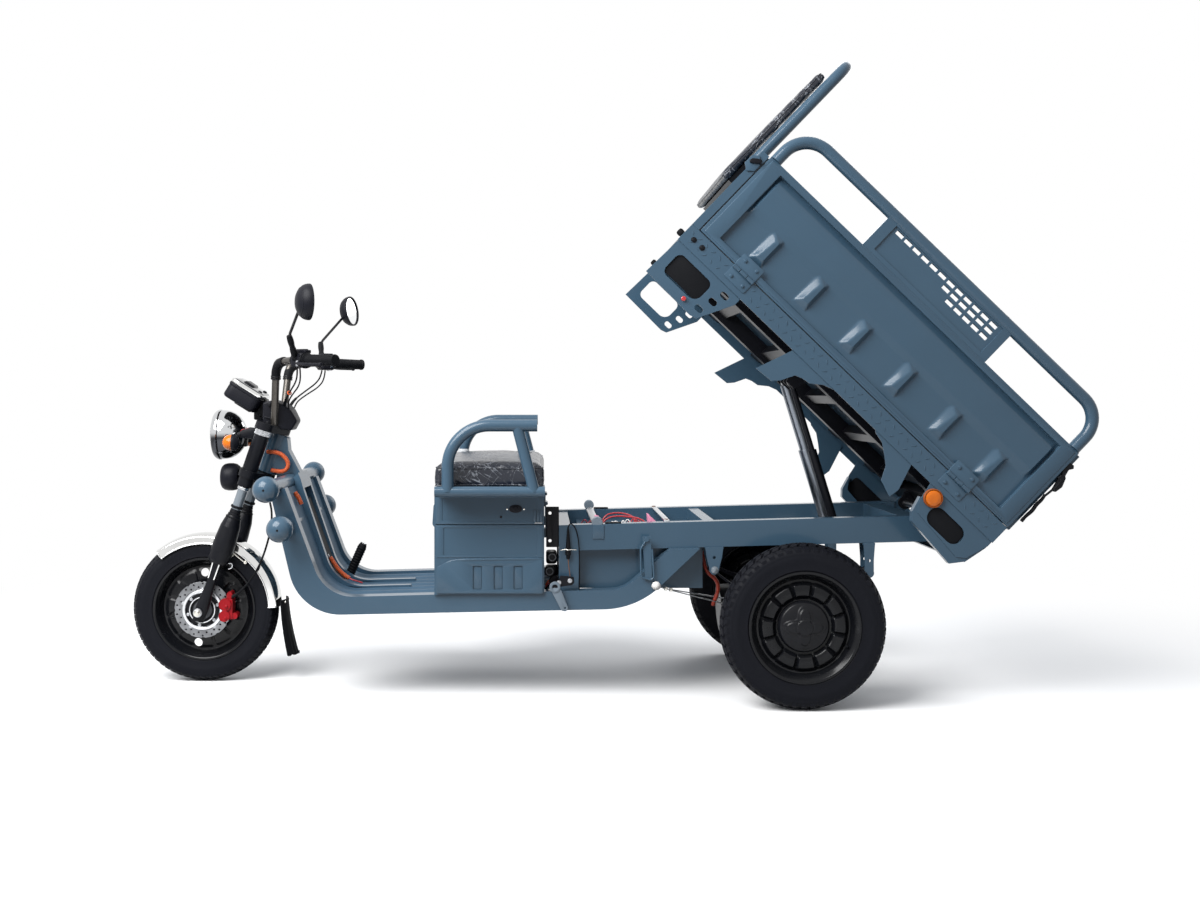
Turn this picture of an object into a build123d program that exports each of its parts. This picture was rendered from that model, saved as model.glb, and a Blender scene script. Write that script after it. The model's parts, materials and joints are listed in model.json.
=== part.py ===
from build123d import *
import os
from math import atan2, cos, degrees, hypot, radians, sin, tan

# Electric cargo tricycle with its load bed tipped up.
# Millimetres. +Z up, the front wheel towards -X, the left side towards -Y.
# Sizes are drawn from a datum 0 close to the seat's rear edge, at ground level and in the
# middle plane; the last step slides every piece along X so that the origin is under the box's centre.

# ---- driving dimensions ----
FRONT_AXLE_X = -1105.0
REAR_AXLE_X = 790.0
FRONT_TYRE_R = 240.0
FRONT_TYRE_W = 86.0
REAR_TYRE_R = 250.0
REAR_TYRE_W = 100.0
TRACK = 810.0
FRONT_RIM_R = 158.0
REAR_RIM_R = 158.0
FRAME_PITCH = 1.5          # the floor and the rails rise this much towards the rear, degrees

RAKE = 19.0                # steering axis, degrees from upright
FORK_OFFSET = 45.0         # fork legs ahead of the steering axis
FORK_HALF = 90.0           # fork leg to the middle plane
FORK_TUBE_R = 15.0         # bright upper tube
FORK_COVER_R = 25.0        # sleeve between the yokes
FORK_LOWER_R = 15.0
FORK_FOOT_R = 22.0         # at the axle
LEG_BACK = 4.0             # fork leg behind the axle's line
AXLE_R = 8.0
STEM_R = 15.0

FLOOR_TOP = 326.0          # side beam top at FLOOR_X
FLOOR_X = -431.0
BEAM_H = 60.0
BEAM_OUT = 311.0           # side beam outer face to the middle plane
BEAM_W = 50.0
RAIL_TOP = 541.0           # chassis rail top at RAIL_X
RAIL_X = 124.0
RAIL_H = 80.0
RAIL_OUT = 280.0
RAIL_W = 40.0
RAIL_FRONT = 59.0
RAIL_REAR = 1240.0

SEAT_FRONT = -325.0
SEAT_REAR = 13.0
SEAT_HALF = 320.0
SEAT_SEAM = 545.0
SEAT_TOP = 638.0
SEAT_RAIL_Y = 425.0
SEAT_HINGE = (SEAT_REAR + 7.0, 602.0)
SHEET = 3.0

BED_LENGTH = 1264.0
BED_HALF = 480.0           # outer face of a side panel to the middle plane
BED_SIDE_H = 305.0
BED_PANEL_T = 25.0
BED_FLOOR_T = 4.0
BED_TILT = 44.0            # how far the bed leans at rest, degrees
BED_FRONT_X = 473.0        # front edge of the bed floor, tipped
BED_FRONT_Z = 1430.0
BED_BEAM_H = 56.0
PIVOT_A = 1174.0           # pivot in the bed's own length and height
PIVOT_N = -66.0
PIN_R = 10.0

RUN = 0.05                 # radial clearance of a pin that turns
GAP = 2.0                  # gap between a panel and what it closes on

SLOPE = tan(radians(FRAME_PITCH))


# ---- small helpers ----
def slab(points, y_low, y_high):
    """A plate with a straight-edged outline in the X-Z plane, from y_low to y_high."""
    outline = Wire.make_polygon([(x, y_low, z) for x, z in points], close=True)
    return Solid.extrude(Face(outline), Vector(0, y_high - y_low, 0))


def rounded_slab(points, radii, y_low, y_high):
    """As slab, with one corner radius for each point."""
    corners = [(x, y_low, z) for x, z in points]
    outline = FilletPolyline(*corners, radius=radii, close=True)
    return Solid.extrude(Face(Wire(outline.edges())), Vector(0, y_high - y_low, 0))


def block(x_low, x_high, y_low, y_high, z_low, z_high):
    size = (x_high - x_low, y_high - y_low, z_high - z_low)
    middle = ((x_low + x_high) / 2, (y_low + y_high) / 2, (z_low + z_high) / 2)
    return Pos(*middle) * Box(*size)


def rod(start, end, radius):
    start, end = Vector(*start), Vector(*end)
    return Solid.make_cylinder(radius, (end - start).length, Plane(origin=start, z_dir=end - start))


def cross_rod(x, z, y_low, y_high, radius):
    return rod((x, y_low, z), (x, y_high, z), radius)


def bent_tube(points, radii, radius):
    """A round bar along straight runs joined by tangent arcs."""
    path = FilletPolyline(*points, radius=radii)
    return sweep((path ^ 0) * Circle(radius), path=path)


def turned(x, z, profile):
    """A ring about the Y line through x, z. profile is a closed list of (y, radius)."""
    outline = Wire.make_polygon([(x, y, z + r) for y, r in profile], close=True)
    return Solid.revolve(Face(outline), 360, Axis((x, 0, z), (0, 1, 0)))


def both_sides(shape):
    """The shape and its mirror image across the middle plane."""
    return [shape, mirror(shape, about=Plane.XZ)]


def fused(*shapes):
    result = shapes[0]
    for shape in shapes[1:]:
        result = result + shape
    return result


def floor_top(x):
    return FLOOR_TOP + SLOPE * (x - FLOOR_X)


def rail_top(x):
    return RAIL_TOP + SLOPE * (x - RAIL_X)


# ---- steering geometry ----
UP_X, UP_Z = sin(radians(RAKE)), cos(radians(RAKE))


def on_fork(height, ahead=0.0):
    """Point on a fork leg's line at this height, moved ahead of it square to the line."""
    x = FRONT_AXLE_X + (height - FRONT_TYRE_R) * UP_X / UP_Z
    return x - ahead * UP_Z, height + ahead * UP_X


def on_stem(height):
    """Point on the steering axis at this height."""
    foot_x = FRONT_AXLE_X + FORK_OFFSET * UP_Z
    foot_z = FRONT_TYRE_R - FORK_OFFSET * UP_X
    return foot_x + (height - foot_z) * UP_X / UP_Z, height


CLAMP_T = 24.0
CLAMP_LOW = 674.0
CLAMP_HIGH = 828.0
HEAD_R = 32.0


def clamp(height):
    """A yoke that holds both fork legs and the steering stem."""
    x, z = on_stem(height)
    plane = Plane(origin=(x, 0, z), x_dir=(0, 1, 0), z_dir=(UP_X, 0, UP_Z))
    boss = FORK_COVER_R + 6
    reach = FORK_OFFSET - LEG_BACK
    ahead = Vector(-UP_Z, 0, UP_X)
    sign = 1 if (plane.y_dir.dot(ahead) > 0) else -1
    circles = [Circle(STEM_R + 13)]
    circles += [Pos(side * FORK_HALF, sign * reach) * Circle(boss) for side in (-1, 1)]
    edges = [edge for circle in circles for edge in circle.edges()]
    return extrude(plane * make_hull(edges), amount=CLAMP_T / 2, both=True)


def leg_piece(y, low, high, radius):
    """Part of a fork leg between two heights."""
    a, b = on_fork(low, -LEG_BACK), on_fork(high, -LEG_BACK)
    return rod((a[0], y, a[1]), (b[0], y, b[1]), radius)


def leg_cone(y, low, high, radius_low, radius_high):
    a, b = (Vector(x, y, z) for x, z in (on_fork(low, -LEG_BACK), on_fork(high, -LEG_BACK)))
    if radius_low == radius_high:
        return leg_piece(y, low, high, radius_low)
    return Solid.make_cone(radius_low, radius_high, (b - a).length, Plane(origin=a, z_dir=b - a))


# height and radius up the fork leg: foot, narrow lower tube, rubber boot
LEG_PROFILE = (
    (FRONT_TYRE_R - 28, 19), (FRONT_TYRE_R + 18, FORK_FOOT_R), (302, 17), (330, FORK_LOWER_R), (406, FORK_LOWER_R),
)
BOOT_PROFILE = (
    (400, 30), (410, 35), (440, 37), (470, 36), (517, 32), (537, 27), (550, 23), (558, 19), (573, 17),
)
COVER_LOW = 650.0


def build_fork():
    legs = []
    for side in (-1, 1):
        y = side * FORK_HALF
        for profile in (LEG_PROFILE, BOOT_PROFILE):
            for (low, r_low), (high, r_high) in zip(profile, profile[1:]):
                legs.append(leg_cone(y, low, high, r_low, r_high))
        legs.append(leg_piece(y, BOOT_PROFILE[-1][0] - 4, CLAMP_HIGH, FORK_TUBE_R))
        legs.append(leg_piece(y, COVER_LOW, CLAMP_HIGH + 14, FORK_COVER_R))
    low, high = on_stem(CLAMP_LOW), on_stem(CLAMP_HIGH)
    stem = rod((low[0], 0, low[1]), (high[0], 0, high[1]), STEM_R)
    fork = fused(clamp(CLAMP_LOW), clamp(CLAMP_HIGH), stem, *legs)
    return fork - cross_rod(FRONT_AXLE_X, FRONT_TYRE_R, -200, 200, AXLE_R)


def build_front_axle():
    axle = cross_rod(FRONT_AXLE_X, FRONT_TYRE_R, -FORK_HALF - 34, FORK_HALF + 34, AXLE_R)
    nuts = []
    for side in (-1, 1):
        y_low, y_high = sorted((side * (FORK_HALF + FORK_FOOT_R), side * (FORK_HALF + FORK_FOOT_R + 9)))
        nuts.append(cross_rod(FRONT_AXLE_X, FRONT_TYRE_R, y_low, y_high, AXLE_R + 6))
    return fused(axle, *nuts)


def tyre_ring(x, z, radius, width, bead_r):
    """A tyre: straight beads, round shoulders and a crowned tread."""
    half = width / 2
    bead = half - 9
    wall = radius - bead_r

    def at(y, r):
        return (x, y, z + r)

    left = [
        Line(at(-bead, bead_r), at(-bead, bead_r + 12)),
        ThreePointArc(at(-bead, bead_r + 12), at(-half, bead_r + wall * 0.52), at(-half + 13, radius - 9)),
        ThreePointArc(at(-half + 13, radius - 9), at(0, radius), at(half - 13, radius - 9)),
        ThreePointArc(at(half - 13, radius - 9), at(half, bead_r + wall * 0.52), at(bead, bead_r + 12)),
        Line(at(bead, bead_r + 12), at(bead, bead_r)),
        Line(at(bead, bead_r), at(-bead, bead_r)),
    ]
    return Solid.revolve(Face(Wire(left)), 360, Axis((x, 0, z), (0, 1, 0)))


WEB_HOLES = (-91.0, 102.0)     # the round holes of the front wheel's web, degrees from +X


def build_front_rim():
    x, z = FRONT_AXLE_X, FRONT_TYRE_R
    bead = FRONT_TYRE_W / 2 - 9
    barrel = turned(x, z, [
        (-bead - 4, FRONT_RIM_R + 9), (-bead, FRONT_RIM_R + 9), (-bead, FRONT_RIM_R), (bead, FRONT_RIM_R),
        (bead, FRONT_RIM_R + 9), (bead + 4, FRONT_RIM_R + 9), (bead + 4, FRONT_RIM_R - 4),
        (-bead - 4, FRONT_RIM_R - 4),
    ])
    web = turned(x, z, [(-12, 26), (-7, 26), (-7, FRONT_RIM_R - 4), (-12, FRONT_RIM_R - 4)])
    for turn in WEB_HOLES:
        angle = radians(turn)
        web -= cross_rod(x + 117 * cos(angle), z + 117 * sin(angle), -40, 40, 14)
    hub = cross_rod(x, z, -50, 50, 34) - cross_rod(x, z, -60, 60, AXLE_R + RUN)
    return fused(barrel, web, hub)


DISC_Y = (-54.0, -50.0)
DISC_R = 92.0


def build_brake_disc():
    """Drilled ring on a five-armed carrier."""
    x, z = FRONT_AXLE_X, FRONT_TYRE_R
    low, high = DISC_Y
    middle = (low + high) / 2
    ring = cross_rod(x, z, low, high, DISC_R) - cross_rod(x, z, low - 1, high + 1, DISC_R - 26)
    collar = cross_rod(x, z, low, high, 50) - cross_rod(x, z, low - 1, high + 1, 24)
    arms = []
    for step in range(5):
        angle = radians(18 + 72 * step)
        arm = Pos(x + 58 * cos(angle), middle, z + 58 * sin(angle))
        arms.append(arm * Rot(0, -degrees(angle), 0) * Box(24, high - low, 14))
    disc = fused(ring, collar, *arms)
    for step in range(24):
        angle = radians(15 * step)
        out = DISC_R - (7 if step % 2 else 16)
        disc -= cross_rod(x + out * cos(angle), z + out * sin(angle), low - 1, high + 1, 3.5)
    return disc


CALIPER = (FRONT_AXLE_X + 84, FRONT_TYRE_R + 6)


def build_caliper():
    """Floating brake caliper over the disc's rear edge: two cylinders, a bridge and two lugs."""
    x, z = CALIPER
    low, high = -78.0, -30.0
    body = block(x - 16, x + 18, low + 6, high, z - 34, z + 30)
    shapes = [cross_rod(x - 6, z + 14, low, high, 20), cross_rod(x - 8, z - 24, low, high, 18)]
    shapes += [cross_rod(x + 8, z + 46, low + 8, high, 9), cross_rod(x + 24, z - 24, low + 8, high, 10)]
    body = fused(body, block(x - 2, x + 14, low + 8, high, z + 20, z + 46), *shapes)
    slot = cross_rod(FRONT_AXLE_X, FRONT_TYRE_R, DISC_Y[0] - 4, DISC_Y[1] + 4, DISC_R + 6)
    return body - slot


GUARD_GAP = 6.0
GUARD_T = 2.5
GUARD_HALF = 51.0
GUARD_FROM = 1.5
GUARD_TO = 129.5
GUARD_SKIRT = 34.0


def arc_band(x, z, r_in, r_out, from_deg, to_deg, y_low, y_high):
    """Part of a ring about the Y line through x, z; angles count up from +X towards +Z."""
    def at(r, angle):
        return (x + r * cos(radians(angle)), y_low, z + r * sin(radians(angle)))
    mid = (from_deg + to_deg) / 2
    edges = [
        ThreePointArc(at(r_out, from_deg), at(r_out, mid), at(r_out, to_deg)),
        Line(at(r_out, to_deg), at(r_in, to_deg)),
        ThreePointArc(at(r_in, to_deg), at(r_in, mid), at(r_in, from_deg)),
        Line(at(r_in, from_deg), at(r_out, from_deg)),
    ]
    return Solid.extrude(Face(Wire(edges)), Vector(0, y_high - y_low, 0))


def build_front_mudguard():
    x, z = FRONT_AXLE_X, FRONT_TYRE_R
    r_in = FRONT_TYRE_R + GUARD_GAP
    r_out = r_in + GUARD_T
    crown = arc_band(x, z, r_in, r_out, GUARD_FROM, GUARD_TO, -GUARD_HALF, GUARD_HALF)
    skirts = [
        arc_band(x, z, r_out - GUARD_SKIRT, r_out, GUARD_FROM, GUARD_TO, low, high)
        for low, high in ((-GUARD_HALF, -GUARD_HALF + GUARD_T), (GUARD_HALF - GUARD_T, GUARD_HALF))
    ]
    return fused(crown, *skirts)


def build_mudflap():
    x, z = FRONT_AXLE_X + FRONT_TYRE_R + GUARD_GAP + GUARD_T + 2, FRONT_TYRE_R
    points = [
        (x - 0.5, z + 30), (x + 5, z + 30), (x + 14, z - 30), (x + 36, z - 146), (x + 30, z - 160), (x + 5, z - 30),
    ]
    return slab(points, -GUARD_HALF, GUARD_HALF)


def build_headlight():
    x, z = -1030.0, 812.0
    lamp = turned_x(x, z, [(-58, 0), (-50, 60), (-42, 78), (-30, 82), (0, 80), (26, 62), (40, 34), (42, 0)])
    ear = block(x + 20, x + 92, -14, 14, z - 16, z + 10)
    stem = block(x + 36, x + 60, -14, 14, z - 40, z)
    return lamp + fused(ear, stem)


def turned_x(x, z, profile):
    """A body of revolution about the X line through z. profile is (x offset, radius)."""
    outline = Wire.make_polygon([(x + dx, 0, z + r) for dx, r in profile], close=True)
    return Solid.revolve(Face(outline), 360, Axis((x, 0, z), (1, 0, 0)))


def build_instrument_pod():
    """Meter housing, tilted so that its face looks up at the rider."""
    plane = Pos(-972, 0, 940) * Rot(0, 32, 0)
    body = plane * Box(124, 150, 62)
    body = fillet(body.edges().filter_by(Axis.Y), 14)
    foot = block(-945, -905, -22, 22, CLAMP_HIGH + 22, 925)
    return body + foot


BAR_R = 12.0
BAR_FOOT = (-868.0, 66.0, 840.0)
BAR_CORNER = (-852.0, 112.0, 1049.0)
BAR_BEND = (-768.0, 228.0, 1053.0)
BAR_END = (-633.0, 330.0, 1050.0)
GRIP_LENGTH = 120.0
GRIP_R = 19.0


def bar_points(side):
    return [(x, side * y, z) for x, y, z in (BAR_FOOT, BAR_CORNER, BAR_BEND, BAR_END)]


def along_grip(side, distance):
    """Point on the bar's outer run, this far inside its end."""
    bend, end = (Vector(*point) for point in bar_points(side)[-2:])
    return end + (bend - end).normalized() * distance


def build_handlebar():
    """Two bent tubes, each from the upper yoke up its riser and back to the grip."""
    return [bent_tube(bar_points(side), [32.0, 60.0], BAR_R) for side in (-1, 1)]


def build_grips():
    grips = []
    for side in (-1, 1):
        outer = rod(along_grip(side, GRIP_LENGTH), along_grip(side, -9), GRIP_R)
        inner = rod(along_grip(side, GRIP_LENGTH + 5), along_grip(side, -0.2), BAR_R + 0.2)
        grips.append(outer - inner)
    return grips


# ---- chassis ----
def build_front_frame():
    """Left and right side beams: they rise at the front and curve up to the rails behind."""
    low_y, high_y = -BEAM_OUT, -BEAM_OUT + BEAM_W
    outline = [
        (-826, 618), (-741, floor_top(-741) - BEAM_H + 6), (298, floor_top(298) - BEAM_H),
        (494, rail_top(494) - RAIL_H),
        (400, rail_top(400) - RAIL_H), (256, floor_top(256)), (-662, floor_top(-662)), (-788, 660),
    ]
    beam = rounded_slab(outline, [4, 160, 260, 1, 1, 100, 125, 4], low_y, high_y)
    return both_sides(beam)


RIB_IN = 60.0
RIB_OUT = 85.0


def build_front_ribs():
    """Two upright ribs of the front panel, their cross plate and the gusset of the steering head."""
    outline = [
        (-812, 668), (-712, 330), (-420, floor_top(-420) - 24), (-420, floor_top(-420)),
        (-662, floor_top(-662)), (-780, 668),
    ]
    ribs = [
        rounded_slab(outline, [1, 150, 1, 1, 125, 1], y, y + RIB_OUT - RIB_IN) for y in (-RIB_OUT, RIB_IN)
    ]
    head_low, head_high = on_stem(CLAMP_LOW + CLAMP_T / 2 + 2), on_stem(CLAMP_HIGH - CLAMP_T / 2 - 2)
    head = rod((head_low[0], 0, head_low[1]), (head_high[0], 0, head_high[1]), HEAD_R)
    gusset = slab([
        (head_low[0] + 6, head_low[1] + 16), (head_high[0] + 6, head_high[1] - 8),
        (head_high[0] + 27, head_high[1] - 12),
        (-829, 761), (-780, 668), (-812, 668),
    ], -28, 28)
    cross = slab([(-815, 660), (-787, 690), (-778, 668), (-770, 640), (-800, 628)], -RIB_OUT, RIB_OUT)
    frame = fused(head, gusset, cross, *ribs)
    bore_low, bore_high = on_stem(CLAMP_LOW - 40), on_stem(CLAMP_HIGH + 40)
    return frame - rod((bore_low[0], 0, bore_low[1]), (bore_high[0], 0, bore_high[1]), STEM_R + RUN)


GUARD_BARS = ((-822.0, 660.0), (-781.0, 541.0))
GUARD_BAR_R = 24.0
GUARD_BALL_R = 40.0
GUARD_BALL_Y = 420.0


def build_front_guard():
    bars = []
    for x, z in GUARD_BARS:
        bar = cross_rod(x, z, -GUARD_BALL_Y, GUARD_BALL_Y, GUARD_BAR_R)
        balls = [Pos(x, side * GUARD_BALL_Y, z) * Sphere(GUARD_BALL_R) for side in (-1, 1)]
        bars.append(fused(bar, *balls))
    return bars


FLOOR_DROP = 12.0
PANEL_TOP = (-796.0, 650.0)
PANEL_FOOT = (-671.0, floor_top(-671) - FLOOR_DROP)


def build_footboard():
    """Sheet floor that curves up into the front panel, with lengthwise steps."""
    thick = 4.0
    inner = BEAM_OUT - BEAM_W
    rear = 120.0
    outline = [
        (PANEL_TOP[0] - thick, PANEL_TOP[1]), PANEL_TOP, PANEL_FOOT, (rear, floor_top(rear) - FLOOR_DROP),
        (rear, floor_top(rear) - FLOOR_DROP - thick), (PANEL_FOOT[0] - 6, PANEL_FOOT[1] - thick),
    ]
    sheet = rounded_slab(outline, [0.5, 0.5, 130, 0.5, 0.5, 134], -inner, inner)
    steps = []
    for index in range(7):
        y = -225 + 75 * index
        low = [(x, floor_top(x) - FLOOR_DROP - 1) for x in (-560, rear)]
        high = [(x, floor_top(x) - FLOOR_DROP + 6) for x in (rear, -560)]
        steps.append(slab(low + high, y - 14, y + 14))
    return fused(sheet, *steps)


def build_rails():
    """Ladder frame under the bed: two rails, cross members, front posts and the pivot brackets."""
    pieces = []
    for side in (-1, 1):
        y_low, y_high = sorted((side * RAIL_OUT, side * (RAIL_OUT - RAIL_W)))
        pieces.append(slab([
            (RAIL_FRONT, rail_top(RAIL_FRONT)), (RAIL_REAR, rail_top(RAIL_REAR)),
            (RAIL_REAR, rail_top(RAIL_REAR) - RAIL_H), (RAIL_FRONT, rail_top(RAIL_FRONT) - RAIL_H),
        ], y_low, y_high))
        post = slab([
            (RAIL_FRONT, rail_top(RAIL_FRONT) - RAIL_H),
            (RAIL_FRONT + 62, rail_top(RAIL_FRONT + 62) - RAIL_H),
            (RAIL_FRONT + 62, floor_top(RAIL_FRONT + 62)), (RAIL_FRONT, floor_top(RAIL_FRONT)),
        ], y_low, y_high)
        pieces.append(post)
        b_low, b_high = sorted((side * (RAIL_OUT - 34), side * (RAIL_OUT - 22)))
        bracket = slab([
            (RAIL_REAR - 70, rail_top(RAIL_REAR) - RAIL_H + 10),
            (RAIL_REAR, rail_top(RAIL_REAR) - RAIL_H + 10),
            (PIVOT[0] + 18, PIVOT[1] - 16), (PIVOT[0] + 18, PIVOT[1]), (PIVOT[0], PIVOT[1] + 5),
            (RAIL_REAR - 70, rail_top(RAIL_REAR - 70) - 5),
        ], b_low, b_high)
        pieces.append(bracket)
        pieces.append(cross_rod(PIVOT[0], PIVOT[1], b_low, b_high, 22))
    inner = RAIL_OUT - RAIL_W
    for x, width in ((RAIL_FRONT, 36.0), (515.0, 35.0), (1130.0, 60.0)):
        pieces.append(slab([
            (x, rail_top(x) - 4), (x + width, rail_top(x + width) - 4),
            (x + width, rail_top(x + width) - RAIL_H + 4), (x, rail_top(x) - RAIL_H + 4),
        ], -inner, inner))
    pieces.append(cross_rod(LIFT_BASE[0], LIFT_BASE[1], -inner, inner, LIFT_PIN_R))
    ladder = fused(*pieces)
    return ladder - cross_rod(PIVOT[0], PIVOT[1], -400, 400, PIN_R)


def bed_point(a, n):
    """Where a point of the bed's own length and height lies while the bed is tipped."""
    c, s = cos(radians(BED_TILT)), sin(radians(BED_TILT))
    return BED_FRONT_X + c * a + s * n, BED_FRONT_Z - s * a + c * n


PIVOT = bed_point(PIVOT_A, PIVOT_N)
LIFT_BASE = (970.0, 500.0)
LIFT_PIN_R = 14.0
LIFT_EYE = (560.0, -78.0)      # in the bed's own length and height
LIFT_Y = {"lift": 45.0, "strut": -60.0}
LIFT_EAR = 24.0
BED_DOWN = BED_TILT + FRAME_PITCH


def eye_at(angle):
    """The rod's pin when the bed has turned by angle degrees about its pivot, down is negative."""
    x, z = bed_point(*LIFT_EYE)
    dx, dz = x - PIVOT[0], z - PIVOT[1]
    c, s = cos(radians(angle)), sin(radians(angle))
    return PIVOT[0] + dx * c + dz * s, PIVOT[1] - dx * s + dz * c


def lift_state(angle):
    """Length and lean (degrees from upright towards +X) of a lift at this bed angle."""
    x, z = eye_at(angle)
    dx, dz = x - LIFT_BASE[0], z - LIFT_BASE[1]
    return hypot(dx, dz), degrees(atan2(dx, dz))


def build_rest_tube():
    tube = cross_rod(175, 539, -RAIL_OUT + RAIL_W, RAIL_OUT - RAIL_W, 13)
    return tube


BATTERY_LOW = 338.0
BATTERY_TOP = 508.0


def build_battery_box():
    y = RAIL_OUT - RAIL_W - 4
    return block(125, 510, -y, y, BATTERY_LOW, BATTERY_TOP)


def build_rear_axle():
    half = TRACK / 2 - REAR_TYRE_W / 2 - 4
    x, z = REAR_AXLE_X, REAR_TYRE_R
    tube = cross_rod(x, z, -half, half, 30)
    shaft = cross_rod(x, z, -TRACK / 2 - 8, TRACK / 2 + 8, 14)
    diff = Pos(x, 0, z) * Sphere(98)
    motor = rod((x - 198, 0, z - 12), (x - 20, 0, z - 4), 78)
    return fused(tube, shaft, diff, motor)


SPRING_Y = (236.0, 284.0)
SPRING_FRONT = (540.0, 402.0)
SPRING_REAR = (1020.0, 392.0)
SPRING_SEAT = REAR_TYRE_R + 30


def arc_leaf(lift, thick, from_x, to_x, y_low, y_high):
    """One curved leaf: a strip between two arcs above the axle."""
    def height(x):
        reach = (x - REAR_AXLE_X) / 250
        return SPRING_SEAT + lift + 102 * reach * reach
    points_low = [(x, y_low, height(x)) for x in (from_x, REAR_AXLE_X, to_x)]
    points_high = [(x, y_low, height(x) + thick) for x in (from_x, REAR_AXLE_X, to_x)]
    edges = [
        ThreePointArc(*points_low), Line(points_low[2], points_high[2]),
        ThreePointArc(*points_high[::-1]), Line(points_high[0], points_low[0]),
    ]
    return Solid.extrude(Face(Wire(edges)), Vector(0, y_high - y_low, 0))


def build_leaf_springs():
    springs = []
    for y_low, y_high in ((-SPRING_Y[1], -SPRING_Y[0]), SPRING_Y):
        main = arc_leaf(14, 8, SPRING_FRONT[0], SPRING_REAR[0], y_low, y_high)
        second = arc_leaf(6.5, 8, 620, 960, y_low, y_high)
        third = arc_leaf(0, 7, 690, 890, y_low, y_high)
        eyes = [cross_rod(x, z, y_low, y_high, 15) for x, z in (SPRING_FRONT, SPRING_REAR)]
        seat = block(REAR_AXLE_X - 30, REAR_AXLE_X + 30, y_low, y_high, SPRING_SEAT - 8, SPRING_SEAT + 8)
        spring = fused(main, second, third, seat, *eyes)
        spring -= cross_rod(REAR_AXLE_X, REAR_TYRE_R, -400, 400, 30)
        springs.append(spring)
    return springs


def spring_bracket(side, x, z, half):
    """Two cheeks under the rail that hold one end of a spring, with the plate that joins them."""
    under = rail_top(x) - RAIL_H
    outline = [
        (x - half, under), (x + half, under), (x + half - 4, z + 40), (x + 14, z), (x - 14, z), (x - half + 4, z + 40),
    ]
    pieces = []
    for y in (SPRING_Y[0] - 6, SPRING_Y[1] + 1):
        y_low, y_high = sorted((side * y, side * (y + 5)))
        cheek = slab(outline, y_low, y_high) + cross_rod(x, z, y_low, y_high, 15)
        pieces.append(cheek - cross_rod(x, z + 38, y_low - 1, y_high + 1, SPARE_HOLE_R))
    y_low, y_high = sorted((side * (SPRING_Y[0] - 6), side * (SPRING_Y[1] + 6)))
    corners = [(x - half, under - 5), (x + half, under - 5)]
    corners += [(x + half, rail_top(x + half) - RAIL_H), (x - half, rail_top(x - half) - RAIL_H)]
    return fused(slab(corners, y_low, y_high), *pieces)


SPARE_HOLE_R = 5.0


def build_spring_brackets():
    brackets = []
    for side in (-1, 1):
        brackets.append(spring_bracket(side, *SPRING_FRONT, 28))
        brackets.append(spring_bracket(side, *SPRING_REAR, 18))
    return brackets


HINGE_PLACES = (-225.0, 165.0)
LEAF = 60.0


def seat_leaf(y_low, z_low, z_high):
    """Flat hinge leaf behind the seat box."""
    return block(SEAT_REAR - 0.5, SEAT_REAR + 3, y_low, y_low + LEAF, z_low, z_high)


def build_seat_box():
    front, rear = SEAT_FRONT, SEAT_REAR
    outer = slab([
        (front, floor_top(front)), (rear, floor_top(rear)),
        (rear, SEAT_SEAM - GAP / 2), (front, SEAT_SEAM - GAP / 2),
    ], -SEAT_HALF, SEAT_HALF)
    inner = slab([
        (front + SHEET, floor_top(front) + SHEET), (rear - SHEET, floor_top(rear) + SHEET),
        (rear - SHEET, SEAT_SEAM + 10), (front + SHEET, SEAT_SEAM + 10),
    ], -SEAT_HALF + SHEET, SEAT_HALF - SHEET)
    hinges = []
    for y in HINGE_PLACES:
        strap = block(SEAT_REAR + 3.5, SEAT_REAR + 6.5, y, y + LEAF / 2, SEAT_SEAM - 50, SEAT_HINGE[1])
        foot = block(SEAT_REAR - 0.5, SEAT_REAR + 6.5, y, y + LEAF / 2, SEAT_SEAM - 50, SEAT_SEAM - 20)
        hinges += [strap, foot, cross_rod(*SEAT_HINGE, y, y + LEAF / 2, 5)]
    return fused(outer - inner, *hinges)


def build_seat_lid():
    outer = block(SEAT_FRONT, SEAT_REAR, -SEAT_HALF, SEAT_HALF, SEAT_SEAM + GAP / 2, SEAT_TOP)
    half = SEAT_HALF - SHEET
    inner = block(SEAT_FRONT + SHEET, SEAT_REAR - SHEET, -half, half, SEAT_SEAM - 5, SEAT_TOP - SHEET)
    lip = rounded_slab([
        (SEAT_FRONT + 0.5, SEAT_SEAM + 56), (SEAT_FRONT - 20, SEAT_SEAM + 44),
        (SEAT_FRONT - 24, SEAT_SEAM - 24),
        (SEAT_FRONT - 8, SEAT_SEAM - 36), (SEAT_FRONT - 4, SEAT_SEAM - 30), (SEAT_FRONT - 4, SEAT_SEAM + GAP),
        (SEAT_FRONT + 0.5, SEAT_SEAM + GAP),
    ], [0.5, 14, 14, 1, 1, 1, 0.5], -100, 100)
    hinges = []
    for y in HINGE_PLACES:
        start, end = y + LEAF / 2 + 1, y + LEAF
        low, high = SEAT_HINGE[1] - 12, SEAT_HINGE[1] + 28
        hinges.append(block(SEAT_REAR - 0.5, SEAT_REAR + 3, start, end, low, high))
        hinges.append(cross_rod(*SEAT_HINGE, start, end, 5))
    return fused(outer - inner, lip, *hinges)


ARM_R = 18.0
BASE_R = 16.0
ARM_TOP = 852.5


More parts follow.
